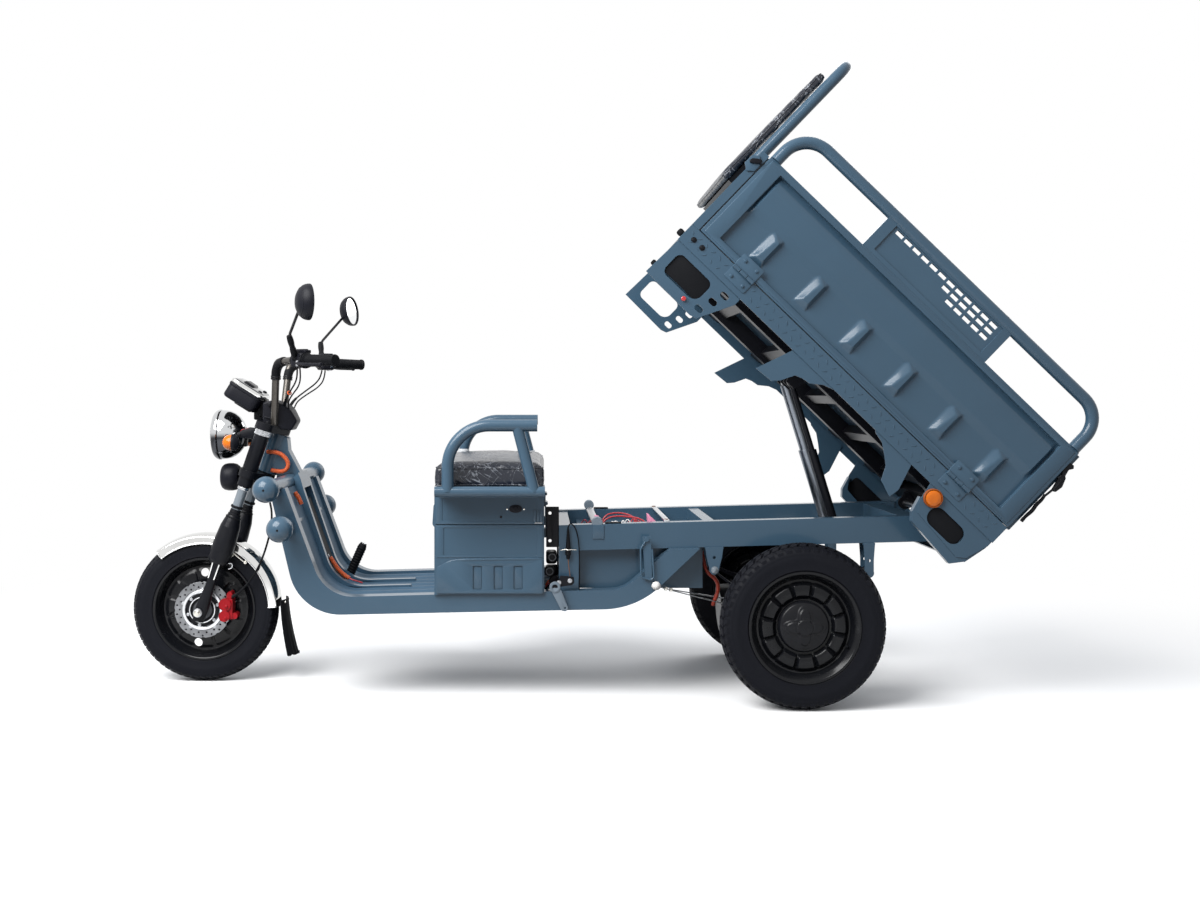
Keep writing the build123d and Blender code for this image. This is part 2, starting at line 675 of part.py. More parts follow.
def build_seat_frame():
    base_z = SEAT_TOP + BASE_R
    pieces = []
    for side in (-1, 1):
        y = side * SEAT_RAIL_Y
        pieces.append(rod((SEAT_FRONT + 9, y, base_z), (SEAT_REAR + 2, y, base_z), BASE_R))
        pieces.append(bent_tube([(-277, y, base_z), (-277, y, ARM_TOP), (-8, y, ARM_TOP)], [125.0], ARM_R))
        pieces.append(rod((-17, y, base_z), (-68, y, ARM_TOP - 4), ARM_R - 1))
    pan = block(SEAT_FRONT + 10, SEAT_REAR, -SEAT_RAIL_Y, SEAT_RAIL_Y, SEAT_TOP + 0.5, SEAT_TOP + 20)
    return fused(pan, *pieces)


def build_seat_cushion():
    y = SEAT_RAIL_Y - BASE_R - 12
    pad = block(SEAT_FRONT + 8, SEAT_REAR - 1, -y + 8, y - 8, SEAT_TOP + 20.5, SEAT_TOP + 100)
    return fillet(pad.edges().filter_by(Axis.Z), 30)


# ---- bed, drawn in its own length a, width y and height n, then leaned back ----
BED = Pos(BED_FRONT_X, 0, BED_FRONT_Z) * Rot(0, BED_TILT, 0)
SKIRT_OUT = BED_HALF - 5
SKIRT_H = 63.0
FRONT_SKIRT_H = 54.0       # shallower, so that it clears the rails as the bed comes down
WALL_FRONT = -30.0


RIM_DROP = 1.0             # the floor's border lies this much under the loading surface
LOAD_MARGIN = 8.0


def build_bed_floor():
    plate = block(WALL_FRONT, BED_LENGTH, -SKIRT_OUT, SKIRT_OUT, -BED_FLOOR_T, -RIM_DROP)
    load_y = BED_HALF - BED_PANEL_T - LOAD_MARGIN
    load = block(LOAD_MARGIN, BED_LENGTH - LOAD_MARGIN, -load_y, load_y, -BED_FLOOR_T, 0)
    skirts = [
        block(WALL_FRONT, BED_LENGTH, low, high, -SKIRT_H, -RIM_DROP)
        for low, high in ((-SKIRT_OUT, -SKIRT_OUT + SHEET), (SKIRT_OUT - SHEET, SKIRT_OUT))
    ]
    front = block(WALL_FRONT, WALL_FRONT + SHEET, -SKIRT_OUT, SKIRT_OUT, -FRONT_SKIRT_H, -RIM_DROP)
    return fused(plate, load, front, *skirts)


CROSSBAR_H = 34.0
CROSSBARS = (120, 240, 452, 665, 847, 1030)


def build_bed_underframe():
    """Two long beams, crossbars between and outside them, the pivot lugs and the lift's ears."""
    top = -BED_FLOOR_T
    side_y = SKIRT_OUT - SHEET
    beams = []
    lugs = []
    for side in (-1, 1):
        y_low, y_high = sorted((side * RAIL_OUT, side * (RAIL_OUT - RAIL_W)))
        beams.append(block(110, 1130, y_low, y_high, -BED_BEAM_H, top))
        l_low, l_high = sorted((side * (RAIL_OUT - RAIL_W - 18), side * (RAIL_OUT - RAIL_W - 6)))
        lug = slab([
            (PIVOT_A - 34, top), (PIVOT_A + 34, top), (PIVOT_A + 20, PIVOT_N), (PIVOT_A - 20, PIVOT_N),
        ], l_low, l_high) + cross_rod(PIVOT_A, PIVOT_N, l_low, l_high, 22)
        lugs.append(lug - cross_rod(PIVOT_A, PIVOT_N, -400, 400, PIN_R + RUN))
    bars = [block(a, a + 38, -side_y, side_y, top - CROSSBAR_H, top) - beams[0] - beams[1] for a in CROSSBARS]
    bars.append(block(PIVOT_A - 40, PIVOT_A + 40, -side_y, side_y, top - 30, top) - lugs[0] - lugs[1])
    pad = block(LIFT_EYE[0] - 45, LIFT_EYE[0] + 45, -110, 95, top - 8, top)
    ears = []
    for centre in LIFT_Y.values():
        for low in (centre - LIFT_EAR - 6, centre + LIFT_EAR):
            ears.append(slab([
                (LIFT_EYE[0] - 40, top - 8), (LIFT_EYE[0] + 40, top - 8),
                (LIFT_EYE[0] + 18, LIFT_EYE[1] - 14),
                (LIFT_EYE[0] - 18, LIFT_EYE[1] - 14),
            ], low, low + 6))
    return [*beams, *lugs, *bars, pad, *ears]


def build_bed_front_wall():
    """Pressed wall with a recess, and an inner flange that closes the slot at the side panels."""
    y = BED_HALF - 4
    inner = BED_HALF - BED_PANEL_T - 3
    wall = block(WALL_FRONT, -4, -y, y, -RIM_DROP, 300)
    recess = block(WALL_FRONT + 3, -1, -y + 30, y - 30, 20, 280)
    flange = block(-4.5, 5, -inner, inner, 1, 300) - block(-6, 6, -inner + 30, inner - 30, 20, 280)
    return fused(wall - recess, flange)


def build_side_panel():
    """Left drop side with its guard rail, closed."""
    y_out, y_in = -BED_HALF, -BED_HALF + BED_PANEL_T
    low, high = GAP, BED_SIDE_H
    panel = block(0, BED_LENGTH, y_out, y_in, low, high)
    panel -= block(PANEL_POST, BED_LENGTH - PANEL_POST + 3, y_out - 1, y_out + 8, 24, 283)
    for index in range(6):
        a = 163 + (BED_LENGTH - 160) / 6 * index
        panel += block(a, a + 38, y_out + 2, y_out + 9, 51, 147)
    for a_low, a_high in ((141, 222), (BED_LENGTH - 245, BED_LENGTH - 157)):
        panel += block(a_low, a_high, HINGE_Y - 3, y_out + 1, HINGE_N, 44)
        panel += rod((a_low, HINGE_Y, HINGE_N), (a_high, HINGE_Y, HINGE_N), 7)
    return panel


HINGE_Y = -BED_HALF - 4.0
HINGE_N = -4.0
HOOP_R = 19.0
HOOP_TOP = 434.0
PANEL_POST = 57.0          # width of the panel's front post
SLOT_W = 26.0              # slots through the infill plate of the side rail
SLOT_H = 13.0
SLOT_PITCH = 35.0
SLOT_ROWS = ((403, 12, 434), (382, 6, 644), (359, 5, 680))     # height, count, place of the first


def build_side_rail():
    y = -BED_HALF + BED_PANEL_T / 2
    front, rear = HOOP_R, BED_LENGTH - HOOP_R
    route = [(front, y, BED_SIDE_H), (front, y, HOOP_TOP), (rear, y, HOOP_TOP), (rear, y, BED_SIDE_H)]
    hoop = bent_tube(route, [92.0, 81.0], HOOP_R)
    infill = block(374, 876, y - 10, y + 10, BED_SIDE_H, HOOP_TOP - 10)
    infill -= block(408, 847, y - 11, y - 5, BED_SIDE_H + 14, HOOP_TOP - 20)
    infill -= block(408, 847, y + 5, y + 11, BED_SIDE_H + 14, HOOP_TOP - 20)
    for height, count, first in SLOT_ROWS:
        for index in range(count):
            a = first + SLOT_PITCH * index
            low, high = height - SLOT_H / 2, height + SLOT_H / 2
            infill -= block(a - SLOT_W / 2, a + SLOT_W / 2, y - 11, y + 11, low, high)
    return hoop + infill


def build_tailgate():
    """Drop gate that closes behind the side panels, with pressed ribs and two hinges."""
    y = BED_HALF - BED_PANEL_T - 3
    inner, outer = BED_LENGTH + GAP, BED_LENGTH + GAP + GATE_T
    gate = block(inner, outer, -y, y, GAP, BED_SIDE_H)
    gate -= block(outer - 7, outer + 20, -y + 50, y - 50, 24, 283)
    for index in range(4):
        low = -y + 120 + 190 * index
        gate += block(outer - 8, outer - 1, low, low + 38, 51, 147)
    for low in (-330, 250):
        gate += block(outer - 4, GATE_A + 3, low, low + 80, GATE_N, 44)
        gate += rod((GATE_A, low, GATE_N), (GATE_A, low + 80, GATE_N), 7)
    return gate


GATE_T = 16.0
GATE_A = BED_LENGTH + GAP + GATE_T + 4
GATE_N = -4.0
ARCH_R = 296.0


def wheel_in_bed():
    """Rear axle in the bed's own length and height once the bed is down."""
    dx, dz = REAR_AXLE_X - PIVOT[0], REAR_TYRE_R - PIVOT[1]
    c, s = cos(radians(FRAME_PITCH)), sin(radians(FRAME_PITCH))
    return PIVOT_A + dx * c + dz * s, PIVOT_N - dx * s + dz * c


def build_bed_skirts():
    """Pressed plates under the left side: front bracket plate and both ends of the wheel arch."""
    y_low, y_high = -SKIRT_OUT + 4, -SKIRT_OUT + 4 + SHEET
    n_top = -SKIRT_H + 20
    plate = slab([
        (-26, n_top), (-32, -196), (152, -200), (173, -193), (227, -86), (227, n_top),
    ], y_low, y_high)
    window = [(2, -164), (138, -164), (138, -86), (2, -86)]
    plate -= rounded_slab(window, [20, 30, 20, 20], y_low - 1, y_high + 1)
    for a, n in ((158, -168), (174, -125), (187, -88)):
        hole = [(a - 14, n - 9), (a + 14, n - 9), (a + 14, n + 9), (a - 14, n + 9)]
        plate -= rounded_slab(hole, [8, 8, 8, 8], y_low - 1, y_high + 1)
    front = slab([
        (451, n_top), (402, -177), (462, -172), (480, -152), (500, -112), (522, -103),
        (548, -99), (580, -74), (620, -60),
        (640, n_top),
    ], y_low, y_high)
    rear = slab([
        (760, n_top), (790, -68), (825, -76), (859, -101), (880, -118), (899, -158), (951, -176), (956, -143),
        (926, n_top),
    ], y_low, y_high)
    ax, az = wheel_in_bed()
    mouth = cross_rod(ax, az, -600, 0, ARCH_R)
    return [plate, front - mouth, rear - mouth]


VALANCE_IN = 30.0          # how far the valance's lower rim turns inwards


def build_rear_valance():
    """End plates with an oval slot and a rim turned under, joined by the rear plate."""
    y_out = SKIRT_OUT - 4
    n_top = -SKIRT_H + 20
    face = [(1006, n_top), (1024, -128), (1044, -152), (1216, -168), (1240, -150), (1262, -80), (1262, n_top)]
    rim = [
        (1017, -112), (1030, -160), (1050, -182), (1216, -196), (1244, -161), (1261, -90),
        (1257, -96), (1236, -146),
        (1214, -165), (1046, -149), (1028, -126), (1023, -112),
    ]
    pieces = []
    for side in (-1, 1):
        y_low, y_high = sorted((side * y_out, side * (y_out - SHEET)))
        plate = slab(face, y_low, y_high)
        hole = [(1066, -153), (1194, -153), (1194, -93), (1066, -93)]
        slot = rounded_slab(hole, [29, 29, 29, 29], y_low - 1, y_high + 1)
        r_low, r_high = sorted((side * (y_out - SHEET), side * (y_out - VALANCE_IN)))
        pieces += [plate - slot, slab(rim, r_low, r_high)]
    rear = slab([
        (1257, n_top), (1262, n_top), (1262, -88), (1246, -161), (1240, -160), (1257, -88),
    ], -y_out + SHEET, y_out - SHEET)
    return fused(rear, *pieces)


BACKREST_A = -26.0


def build_backrest_frame():
    n_low, n_top, y = 301.0, 716.0, 333.0
    a = BACKREST_A
    hoop = bent_tube([(a, -y, n_low), (a, -y, n_top), (a, y, n_top), (a, y, n_low)], [70.0, 70.0], 18)
    bar = rod((a, -y, 420), (a, y, 420), 12)
    return hoop + bar


def build_backrest_cushion():
    pad = block(-74, -45, -345, 345, 186, 640)
    return fillet(pad.edges().filter_by(Axis.X), 40)


def build_backrest_board():
    return block(-44.5, -30.5, -320, 320, 200, 296)


# ---- lift ----
def build_lift(name, barrel_r, rod_r, barrel_length):
    """One telescopic lift standing on its cross tube, its rod's eye at the bed's bracket."""
    y = LIFT_Y[name]
    length, lean = lift_state(0)
    place = Pos(LIFT_BASE[0], y, LIFT_BASE[1]) * Rot(0, lean, 0)
    eye_r = LIFT_PIN_R + 7
    tube = barrel_length - eye_r + 3
    barrel = Pos(0, 0, eye_r - 3 + tube / 2) * Cylinder(barrel_r, tube)
    foot = Rot(90, 0, 0) * Cylinder(eye_r, 22)
    barrel = barrel + foot
    barrel -= Rot(90, 0, 0) * Cylinder(LIFT_PIN_R + RUN, 60)
    barrel -= Pos(0, 0, eye_r + 6 + barrel_length / 2) * Cylinder(rod_r + RUN, barrel_length)
    stroke = length - lift_state(-BED_DOWN)[0]
    rod_foot = eye_r + 12 + stroke
    rod_len = length - rod_foot
    piston = Pos(0, 0, rod_foot + rod_len / 2 - 4) * Cylinder(rod_r, rod_len - 8)
    eye = Pos(0, 0, length) * Rot(90, 0, 0) * Cylinder(14, 20)
    piston = piston + eye
    piston -= Pos(0, 0, length) * Rot(90, 0, 0) * Cylinder(7, 60)
    return place * barrel, place * piston


def wheel_y(side):
    return side * TRACK / 2


def build_rear_tyre(side):
    tyre = tyre_ring(REAR_AXLE_X, REAR_TYRE_R, REAR_TYRE_R, REAR_TYRE_W, REAR_RIM_R)
    return Pos(0, wheel_y(side), 0) * tyre


def build_rear_wheel(side):
    """Pressed disc wheel with its brake drum and hub, outer face towards side."""
    x, z = REAR_AXLE_X, REAR_TYRE_R
    bead = REAR_TYRE_W / 2 - 9
    rim = turned(x, z, [
        (-bead - 4, REAR_RIM_R + 9), (-bead, REAR_RIM_R + 9), (-bead, REAR_RIM_R), (bead, REAR_RIM_R),
        (bead, REAR_RIM_R + 9), (bead + 4, REAR_RIM_R + 9), (bead + 4, REAR_RIM_R - 4),
        (-bead - 4, REAR_RIM_R - 4),
    ])
    web = turned(x, z, [
        (8, 15), (14, 15), (14, 77), (30, 86), (30, 126), (22, REAR_RIM_R - 4), (16, REAR_RIM_R - 4),
        (24, 122), (24, 90), (8, 80),
    ])
    cap = turned(x, z, [(14, 16), (46, 16), (46, 30), (38, 60), (26, 77), (14, 77)])
    drum = turned(x, z, [(-46, 40), (-46, 90), (8, 90), (8, 60), (-38, 60), (-38, 40)])
    wheel = fused(rim, web, cap, drum)
    wheel -= cross_rod(x, z, -200, 200, 14 + RUN)
    if side < 0:
        wheel = mirror(wheel, about=Plane.XZ)
    return Pos(0, wheel_y(side), 0) * wheel


SIGNAL = (-1000.0, 150.0, 791.0)


def build_turn_signals():
    """Small lamps on short arms beside the headlight, their domes to the front."""
    x, y, z = SIGNAL
    profile = [(-17, 0), (-13, 14), (-4, 23), (6, 27), (14, 27), (30, 20), (38, 8), (38, 0)]
    lamps = []
    for side in (-1, 1):
        arm = rod((x + 12, side * (FORK_HALF - 4), z), (x + 12, side * (y - 10), z), 7)
        lamps.append(Pos(0, side * y, 0) * turned_x(x, z, profile) + arm)
    return lamps


MIRROR_BASE = (-765.0, 254.0, 1062.0)
MIRROR_ELBOW = (-776.0, 295.0, 1127.0)
MIRROR_HEAD = (-697.0, 470.0, 1220.0)
MIRROR_LIFT = {-1: 0.0, 1: 29.0}      # the right mirror is turned up further


def build_mirrors():
    """Round mirrors on bent arms, each with a sleeve at its foot."""
    profile = [(-34, 0), (-31, 20), (-20, 40), (-4, 52), (3, 54), (5, 50), (5, 0)]
    mirrors = []
    for side, lift in MIRROR_LIFT.items():
        base, elbow, head = ((x, side * y, z) for x, y, z in (MIRROR_BASE, MIRROR_ELBOW, MIRROR_HEAD))
        head = (head[0], head[1], head[2] + lift)
        hold = (head[0] - 24, head[1] - side * 30, head[2] - 27)
        arm = bent_tube([base, elbow, hold], [30.0], 4.5)
        sleeve = rod(base, elbow, 8)
        shell = Pos(*head) * Rot(0, -4 - 4 * side, -24 * side) * turned_x(0, 0, profile)
        mirrors.append(fused(sleeve, arm, shell))
    return mirrors


POD_BACK = 26.0


def build_hand_controls():
    """Switch pods with their brake levers."""
    sets = []
    for side in (-1, 1):
        middle = along_grip(side, GRIP_LENGTH + POD_BACK)
        pod = Pos(*middle) * Rot(0, 0, side * 37) * Box(52, 44, 46)
        pod = fillet(pod.edges(), 8)
        lever_from = along_grip(side, GRIP_LENGTH + 6) + Vector(-20, side * 26, -10)
        lever_to = along_grip(side, 14) + Vector(-26, side * 36, -14)
        middle_lever = (lever_from + lever_to) * 0.5 + Vector(-8, side * 10, -2)
        sets.append(pod + bent_tube([lever_from, middle_lever, lever_to], [60.0], 5.5))
    return sets


def build_headset_cover():
    """Moulded cover over the upper yoke and the ends of the risers."""
    outline = [
        (-905, 842), (-868, 834), (-812, 826), (-791, 858), (-812, 893), (-832, 911), (-878, 926), (-905, 918),
    ]
    return rounded_slab(outline, [6, 6, 8, 10, 10, 12, 12, 8], -74, 74)


def build_horn():
    """Round horn facing forward, with its stay to the lower yoke."""
    x, z = -1027.0, 672.0
    horn = turned_x(x, z, [(-28, 0), (-28, 30), (-18, 44), (24, 46), (34, 34), (34, 0)])
    return horn + block(x + 30, x + 52, -12, 12, z - 8, z + 8)


def build_brake_pedal():
    return rod((-650, 150, 332), (-604, 150, 435), 16)


def build_parking_lever():
    hub = cross_rod(46, 352, -BEAM_OUT - 24, -BEAM_OUT - 1, 15)
    arm = slab([(34, 352), (58, 352), (84, 288), (66, 284)], -BEAM_OUT - 20, -BEAM_OUT - 12)
    return hub + arm


def build_hole_plate():
    """Small plate with two bolt holes on the front end of the left rail."""
    plate = block(19, RAIL_FRONT, -RAIL_OUT + 10, -RAIL_OUT + 15, 470, 596)
    for z in (490, 576):
        plate -= cross_rod(31, z, -RAIL_OUT, -RAIL_OUT + 30, 5)
    return plate


def build_bed_lamps():
    """Round side lamps and flat rear lamps of the bed."""
    lamps = []
    y = SKIRT_OUT - 4
    for side in (-1, 1):
        low, high = sorted((side * y, side * (y + 12)))
        lamps.append(rod((1046, low, -90), (1046, high, -90), 26))
        low, high = sorted((side * (y - 150), side * (y - 50)))
        lamps.append(block(1262, 1268, low, high, -78, -50))
    return lamps


# ---- cables, cable cover and latch ----
def cord_tube(name, points, diameter):
    """A cable along straight runs and tangent arcs, each arc as large as its two runs allow."""
    corners = [Vector(*point) for point in points]
    radii = []
    for before, here, after in zip(corners, corners[1:], corners[2:]):
        run_in, run_out = here - before, after - here
        turn = radians(run_in.get_angle(run_out))
        radii.append(0.45 * min(run_in.length, run_out.length) / tan(turn / 2))
    print(name, "radii", [round(r) for r in radii])
    return bent_tube(points, radii, diameter / 2)


CONDUIT_D = 12.0
CONDUIT_ROUTE = [
    (-896, -36, 756), (-872, -50, 758), (-842, -54, 748), (-823, -54, 722), (-829, -51, 698),
    (-852, -43, 690), (-884, -33, 696),
]


def build_wiring_head():
    """Conduit looped beside the steering head, from the head tube into the gusset."""
    return cord_tube("wiring_head", CONDUIT_ROUTE, CONDUIT_D)


HOSE_D = 7.0
HOSE_ROUTE = [
    (-909, -58, 664), (-900, -62, 636), (-885, -64, 603), (-876, -65, 566), (-877, -65, 522),
    (-887, -64, 472), (-903, -64, 420), (-922, -65, 375), (-950, -68, 332), (-982, -71, 298),
    (-1004, -72, 284),
]


def build_brake_hose():
    """Hose from the lower yoke, behind the left fork leg, to the caliper."""
    return cord_tube("brake_hose", HOSE_ROUTE, HOSE_D)


CABLE_D = 6.0
CABLE_ROUTES = (
    [(-762, 236, 1028), (-764, 222, 1005), (-776, 190, 982), (-797, 148, 961), (-818, 105, 940),
     (-832, 70, 922), (-838, 48, 905)],
    [(-752, 244, 1028), (-752, 228, 997), (-766, 190, 970), (-790, 145, 950), (-812, 100, 930),
     (-822, 66, 914), (-824, 44, 896)],
)


def build_control_cables():
    """Two cables from each switch pod into the headset cover."""
    cables = []
    for side in (-1, 1):
        for number, route in enumerate(CABLE_ROUTES):
            points = [(x, side * y, z) for x, y, z in route]
            cables.append(cord_tube("control_cables %d" % number, points, CABLE_D))
    return cables


LEAD_D = 6.0
LEAD_ROUTES = (
    [(198, -96, BATTERY_TOP), (202, -95, 528), (220, -91, 545), (252, -85, 550), (288, -84, 547),
     (318, -88, 544), (345, -94, 530), (351, -96, BATTERY_TOP)],
    [(205, 30, BATTERY_TOP), (209, 31, 528), (227, 38, 545), (258, 44, 549), (292, 40, 545),
     (319, 31, 531), (325, 28, BATTERY_TOP)],
)


def build_battery_leads():
    """Two leads that bridge the batteries' terminals."""
    return [cord_tube("battery_leads %d" % number, route, LEAD_D) for number, route in enumerate(LEAD_ROUTES)]


COVER_W = 100.0
COVER_T = 9.0


def build_cable_cover():
    """Cover strip over the wiring in the middle of the front panel, bent like the footboard under it."""
    lift = COVER_T / 2
    start = (PANEL_TOP[0] + 18 + lift, 600)
    corner = (PANEL_FOOT[0] + 0.693 * lift, PANEL_FOOT[1] + 1.018 * lift)
    end = (-540, floor_top(-540) - FLOOR_DROP + lift)
    path = FilletPolyline(*[(x, 0, z) for x, z in (start, corner, end)], radius=125)
    section = Plane(origin=path @ 0, z_dir=path % 0, x_dir=(0, 1, 0)) * Rectangle(COVER_W, COVER_T)
    return sweep(section, path=path) - block(-650, -500, -COVER_W, COVER_W, 200, 500)


LATCH_Y = -BEAM_OUT - 1.0


def build_bed_latch():
    """Hook latch on the left rail, hanging outside the side beam, with its wire bail."""
    plate = slab([(315, 509), (341, 509), (345, 378), (323, 374)], LATCH_Y - 8, LATCH_Y)
    spacer = cross_rod(328, 494, LATCH_Y, -RAIL_OUT, 8)
    y = LATCH_Y - 11
    wire = [(328, y, 500), (309, y, 470), (311, y, 384), (351, y, 372), (345, y, 470)]
    bail = bent_tube(wire, [20.0, 12.0, 12.0], 3)
    knob = cross_rod(328, 500, y - 3, LATCH_Y, 7)
    return [fused(plate, spacer, knob), bail - knob]


# ---- assembly ----
def build_all():
    left_panel, left_rail = build_side_panel(), build_side_rail()
    guard = build_front_guard()
    frame = build_front_frame()
    ribs = build_front_ribs()
    for bar in guard:
        frame = [beam - bar for beam in frame]
        ribs = ribs - bar
    footboard = build_footboard() - ribs
    for bar in guard:
        footboard = footboard - bar
    fork = build_fork()
    grips = build_grips()
    handlebar = [bar - fork for bar in build_handlebar()]
    bars = fused(*handlebar)
    battery = build_battery_box()
    cable_cover = build_cable_cover() - footboard - ribs
    for bar in guard:
        cable_cover = cable_cover - bar
    controls = [control - bars - grip for control, grip in zip(build_hand_controls(), grips)]
    pod_controls = fused(*controls)
    mirrors = [mirror_arm - pod_controls for mirror_arm in build_mirrors()]
    cover = build_headset_cover() - fork - bars
    pod = build_instrument_pod() - fork - bars - cover
    caliper = build_caliper() - fork
    pedal = build_brake_pedal()
    footboard = footboard - pedal
    lift_barrel, lift_rod = build_lift("lift", 25, 20, 275)
    strut_barrel, strut_rod = build_lift("strut", 14, 9, 275)
    skirt_left = build_bed_skirts()
    cables = [cable - cover - pod_controls for cable in build_control_cables()]
    nodes = {
        "fork": fork,
        "front_axle": build_front_axle(),
        "front_tyre": tyre_ring(FRONT_AXLE_X, FRONT_TYRE_R, FRONT_TYRE_R, FRONT_TYRE_W, FRONT_RIM_R),
        "front_rim": build_front_rim(),
        "brake_disc": build_brake_disc(),
        "brake_caliper": caliper,
        "front_mudguard": build_front_mudguard(),
        "front_mudflap": build_mudflap(),
        "headlight": build_headlight() - fork,
        "instrument_pod": pod,
        "handlebar": handlebar,
        "handlebar_grips": grips,
        "hand_controls": controls,
        "mirrors": mirrors,
        "turn_signals": [signal - fork for signal in build_turn_signals()],
        "headset_cover": cover,
        "horn": build_horn() - fork,
        "side_beams": frame,
        "steering_head": ribs,
        "front_guard": guard,
        "footboard": footboard,
        "chassis_rails": build_rails(),
        "bed_rest_tube": build_rest_tube(),
        "bed_hinge_pin": cross_rod(PIVOT[0], PIVOT[1], -RAIL_OUT + 12, RAIL_OUT - 12, PIN_R),
        "battery_box": battery,
        "rear_axle": build_rear_axle(),
        "leaf_springs": build_leaf_springs(),
        "spring_brackets": build_spring_brackets(),
        "brake_pedal": pedal,
        "wiring": [build_wiring_head() - ribs, *[lead - battery for lead in build_battery_leads()]],
        "cable_cover": cable_cover,
        "bed_latch": build_bed_latch(),
        "control_cables": [*cables, build_brake_hose() - fork - caliper],
        "parking_lever": [build_parking_lever(), build_hole_plate()],
        "seat_box": build_seat_box(),
        "seat_lid": build_seat_lid(),
        "seat_frame": build_seat_frame(),
        "seat_cushion": build_seat_cushion(),
        "bed_floor": BED * build_bed_floor(),
        "bed_underframe": [BED * piece for piece in build_bed_underframe()],
        "bed_front_wall": BED * build_bed_front_wall(),
        "bed_skirts": [BED * piece for part in skirt_left for piece in both_sides(part)],
        "rear_valance": BED * build_rear_valance(),
        "bed_lamps": [BED * lamp for lamp in build_bed_lamps()],
        "backrest_frame": BED * build_backrest_frame(),
        "backrest_board": BED * build_backrest_board(),
        "backrest_cushion": BED * build_backrest_cushion(),
        "side_panel_left": BED * left_panel,
        "side_rail_left": BED * left_rail,
        "side_panel_right": BED * mirror(left_panel, about=Plane.XZ),
        "side_rail_right": BED * mirror(left_rail, about=Plane.XZ),
        "tailgate": BED * build_tailgate(),
        "lift_barrel": lift_barrel,
        "lift_rod": lift_rod,
        "strut_barrel": strut_barrel,
        "strut_rod": strut_rod,
    }
    for side, word in ((-1, "left"), (1, "right")):
        nodes["rear_tyre_" + word] = build_rear_tyre(side)
        nodes["rear_wheel_" + word] = build_rear_wheel(side)
    return nodes


def gather(shapes):
    """One compound of every solid in a shape or a list of shapes."""
    shapes = shapes if isinstance(shapes, list) else [shapes]
    return Compound(children=[solid for shape in shapes for solid in shape.solids()])


def datum_shift(nodes):
    """How far the pieces slide along X so that the origin is under the middle of the box."""
    boxes = [node.bounding_box() for node in nodes.values()]
    return -(min(box.min.X for box in boxes) + max(box.max.X for box in boxes)) / 2


def main():
    os.makedirs("parts", exist_ok=True)
    nodes = {name: gather(shape) for name, shape in build_all().items()}
    shift = datum_shift(nodes)
    print("datum shift", round(shift, 3), "pivot", [round(v, 2) for v in PIVOT])
    for angle in (0, -BED_DOWN / 2, -BED_DOWN):
        print("bed", angle, "lift length and lean", [round(v, 2) for v in lift_state(angle)])
    for name, node in nodes.items():
        export_step(Pos(shift, 0, 0) * node, os.path.join("parts", name + ".step"))


if __name__ == "__main__":
    main()
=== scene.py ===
import bpy
import bmesh
import json
import random
from math import cos, pi, radians, sin, tan
from mathutils import Matrix, Vector, noise
from mathutils.bvhtree import BVHTree


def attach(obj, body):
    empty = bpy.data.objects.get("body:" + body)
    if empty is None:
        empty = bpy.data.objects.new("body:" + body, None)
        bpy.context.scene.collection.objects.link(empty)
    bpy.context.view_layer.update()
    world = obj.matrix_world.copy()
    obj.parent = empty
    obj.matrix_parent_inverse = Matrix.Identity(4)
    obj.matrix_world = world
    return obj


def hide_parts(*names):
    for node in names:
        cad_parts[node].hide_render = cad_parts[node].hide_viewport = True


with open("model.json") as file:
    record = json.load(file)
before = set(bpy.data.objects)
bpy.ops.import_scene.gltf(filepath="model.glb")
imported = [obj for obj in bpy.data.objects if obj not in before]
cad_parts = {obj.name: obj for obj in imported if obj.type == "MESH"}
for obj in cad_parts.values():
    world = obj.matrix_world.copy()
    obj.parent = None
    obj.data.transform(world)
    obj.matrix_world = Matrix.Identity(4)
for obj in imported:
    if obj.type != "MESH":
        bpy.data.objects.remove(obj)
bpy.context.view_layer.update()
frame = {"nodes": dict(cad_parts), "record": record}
NODES = frame["nodes"]
SHIFT = -0.155263          # from the drawing's datum to the frame's origin, metres
ROUND = 2 * pi


def at(x, y, z):
    """A point given in millimetres from the drawing's datum."""
    return Vector((x / 1000 + SHIFT, y / 1000, z / 1000))


BED_TIP = 44               # how far the bed is tipped at rest, degrees
BED = Matrix.Translation(at(473, 0, 1430)) @ Matrix.Rotation(radians(BED_TIP), 4, "Y")


# ---- camera, light and floor ----
SENSOR, FRAME_WIDTH, FOCAL = 36, 1200, 1327     # the focal length is in the frame's own unit
EYE_AWAY, EYE_HEIGHT = 4.4, 0.953               # of the camera, metres


def build_camera():
    """Level view from the vehicle's left."""
    lens = bpy.data.cameras.new("camera")
    camera = bpy.data.objects.new("camera", lens)
    bpy.context.scene.collection.objects.link(camera)
    lens.sensor_width = SENSOR
    lens.lens = FOCAL / FRAME_WIDTH * SENSOR
    lens.shift_x, lens.shift_y = 0.05, -58 / FRAME_WIDTH
    camera.location = (SHIFT, -EYE_AWAY, EYE_HEIGHT)
    camera.rotation_euler = (radians(90), 0, 0)
    bpy.context.scene.camera = camera


def set_inputs(tree, made, values):
    """Links each input that is given a socket and sets each that is given a value."""
    for key, value in values.items():
        if isinstance(value, bpy.types.NodeSocket):
            tree.links.new(value, made.inputs[key])
        else:
            made.inputs[key].default_value = value
    return made


def node(tree, kind, values=None, **settings):
    """A new node with its settings and its inputs."""
    made = tree.nodes.new(kind)
    for key, value in settings.items():
        setattr(made, key, value)
    return set_inputs(tree, made, values or {})


def maths(tree, operation, a, b=0.0, clamp=False):
    return node(tree, "ShaderNodeMath", {0: a, 1: b}, operation=operation, use_clamp=clamp).outputs[0]


def object_place(tree):
    return node(tree, "ShaderNodeTexCoord").outputs["Object"]


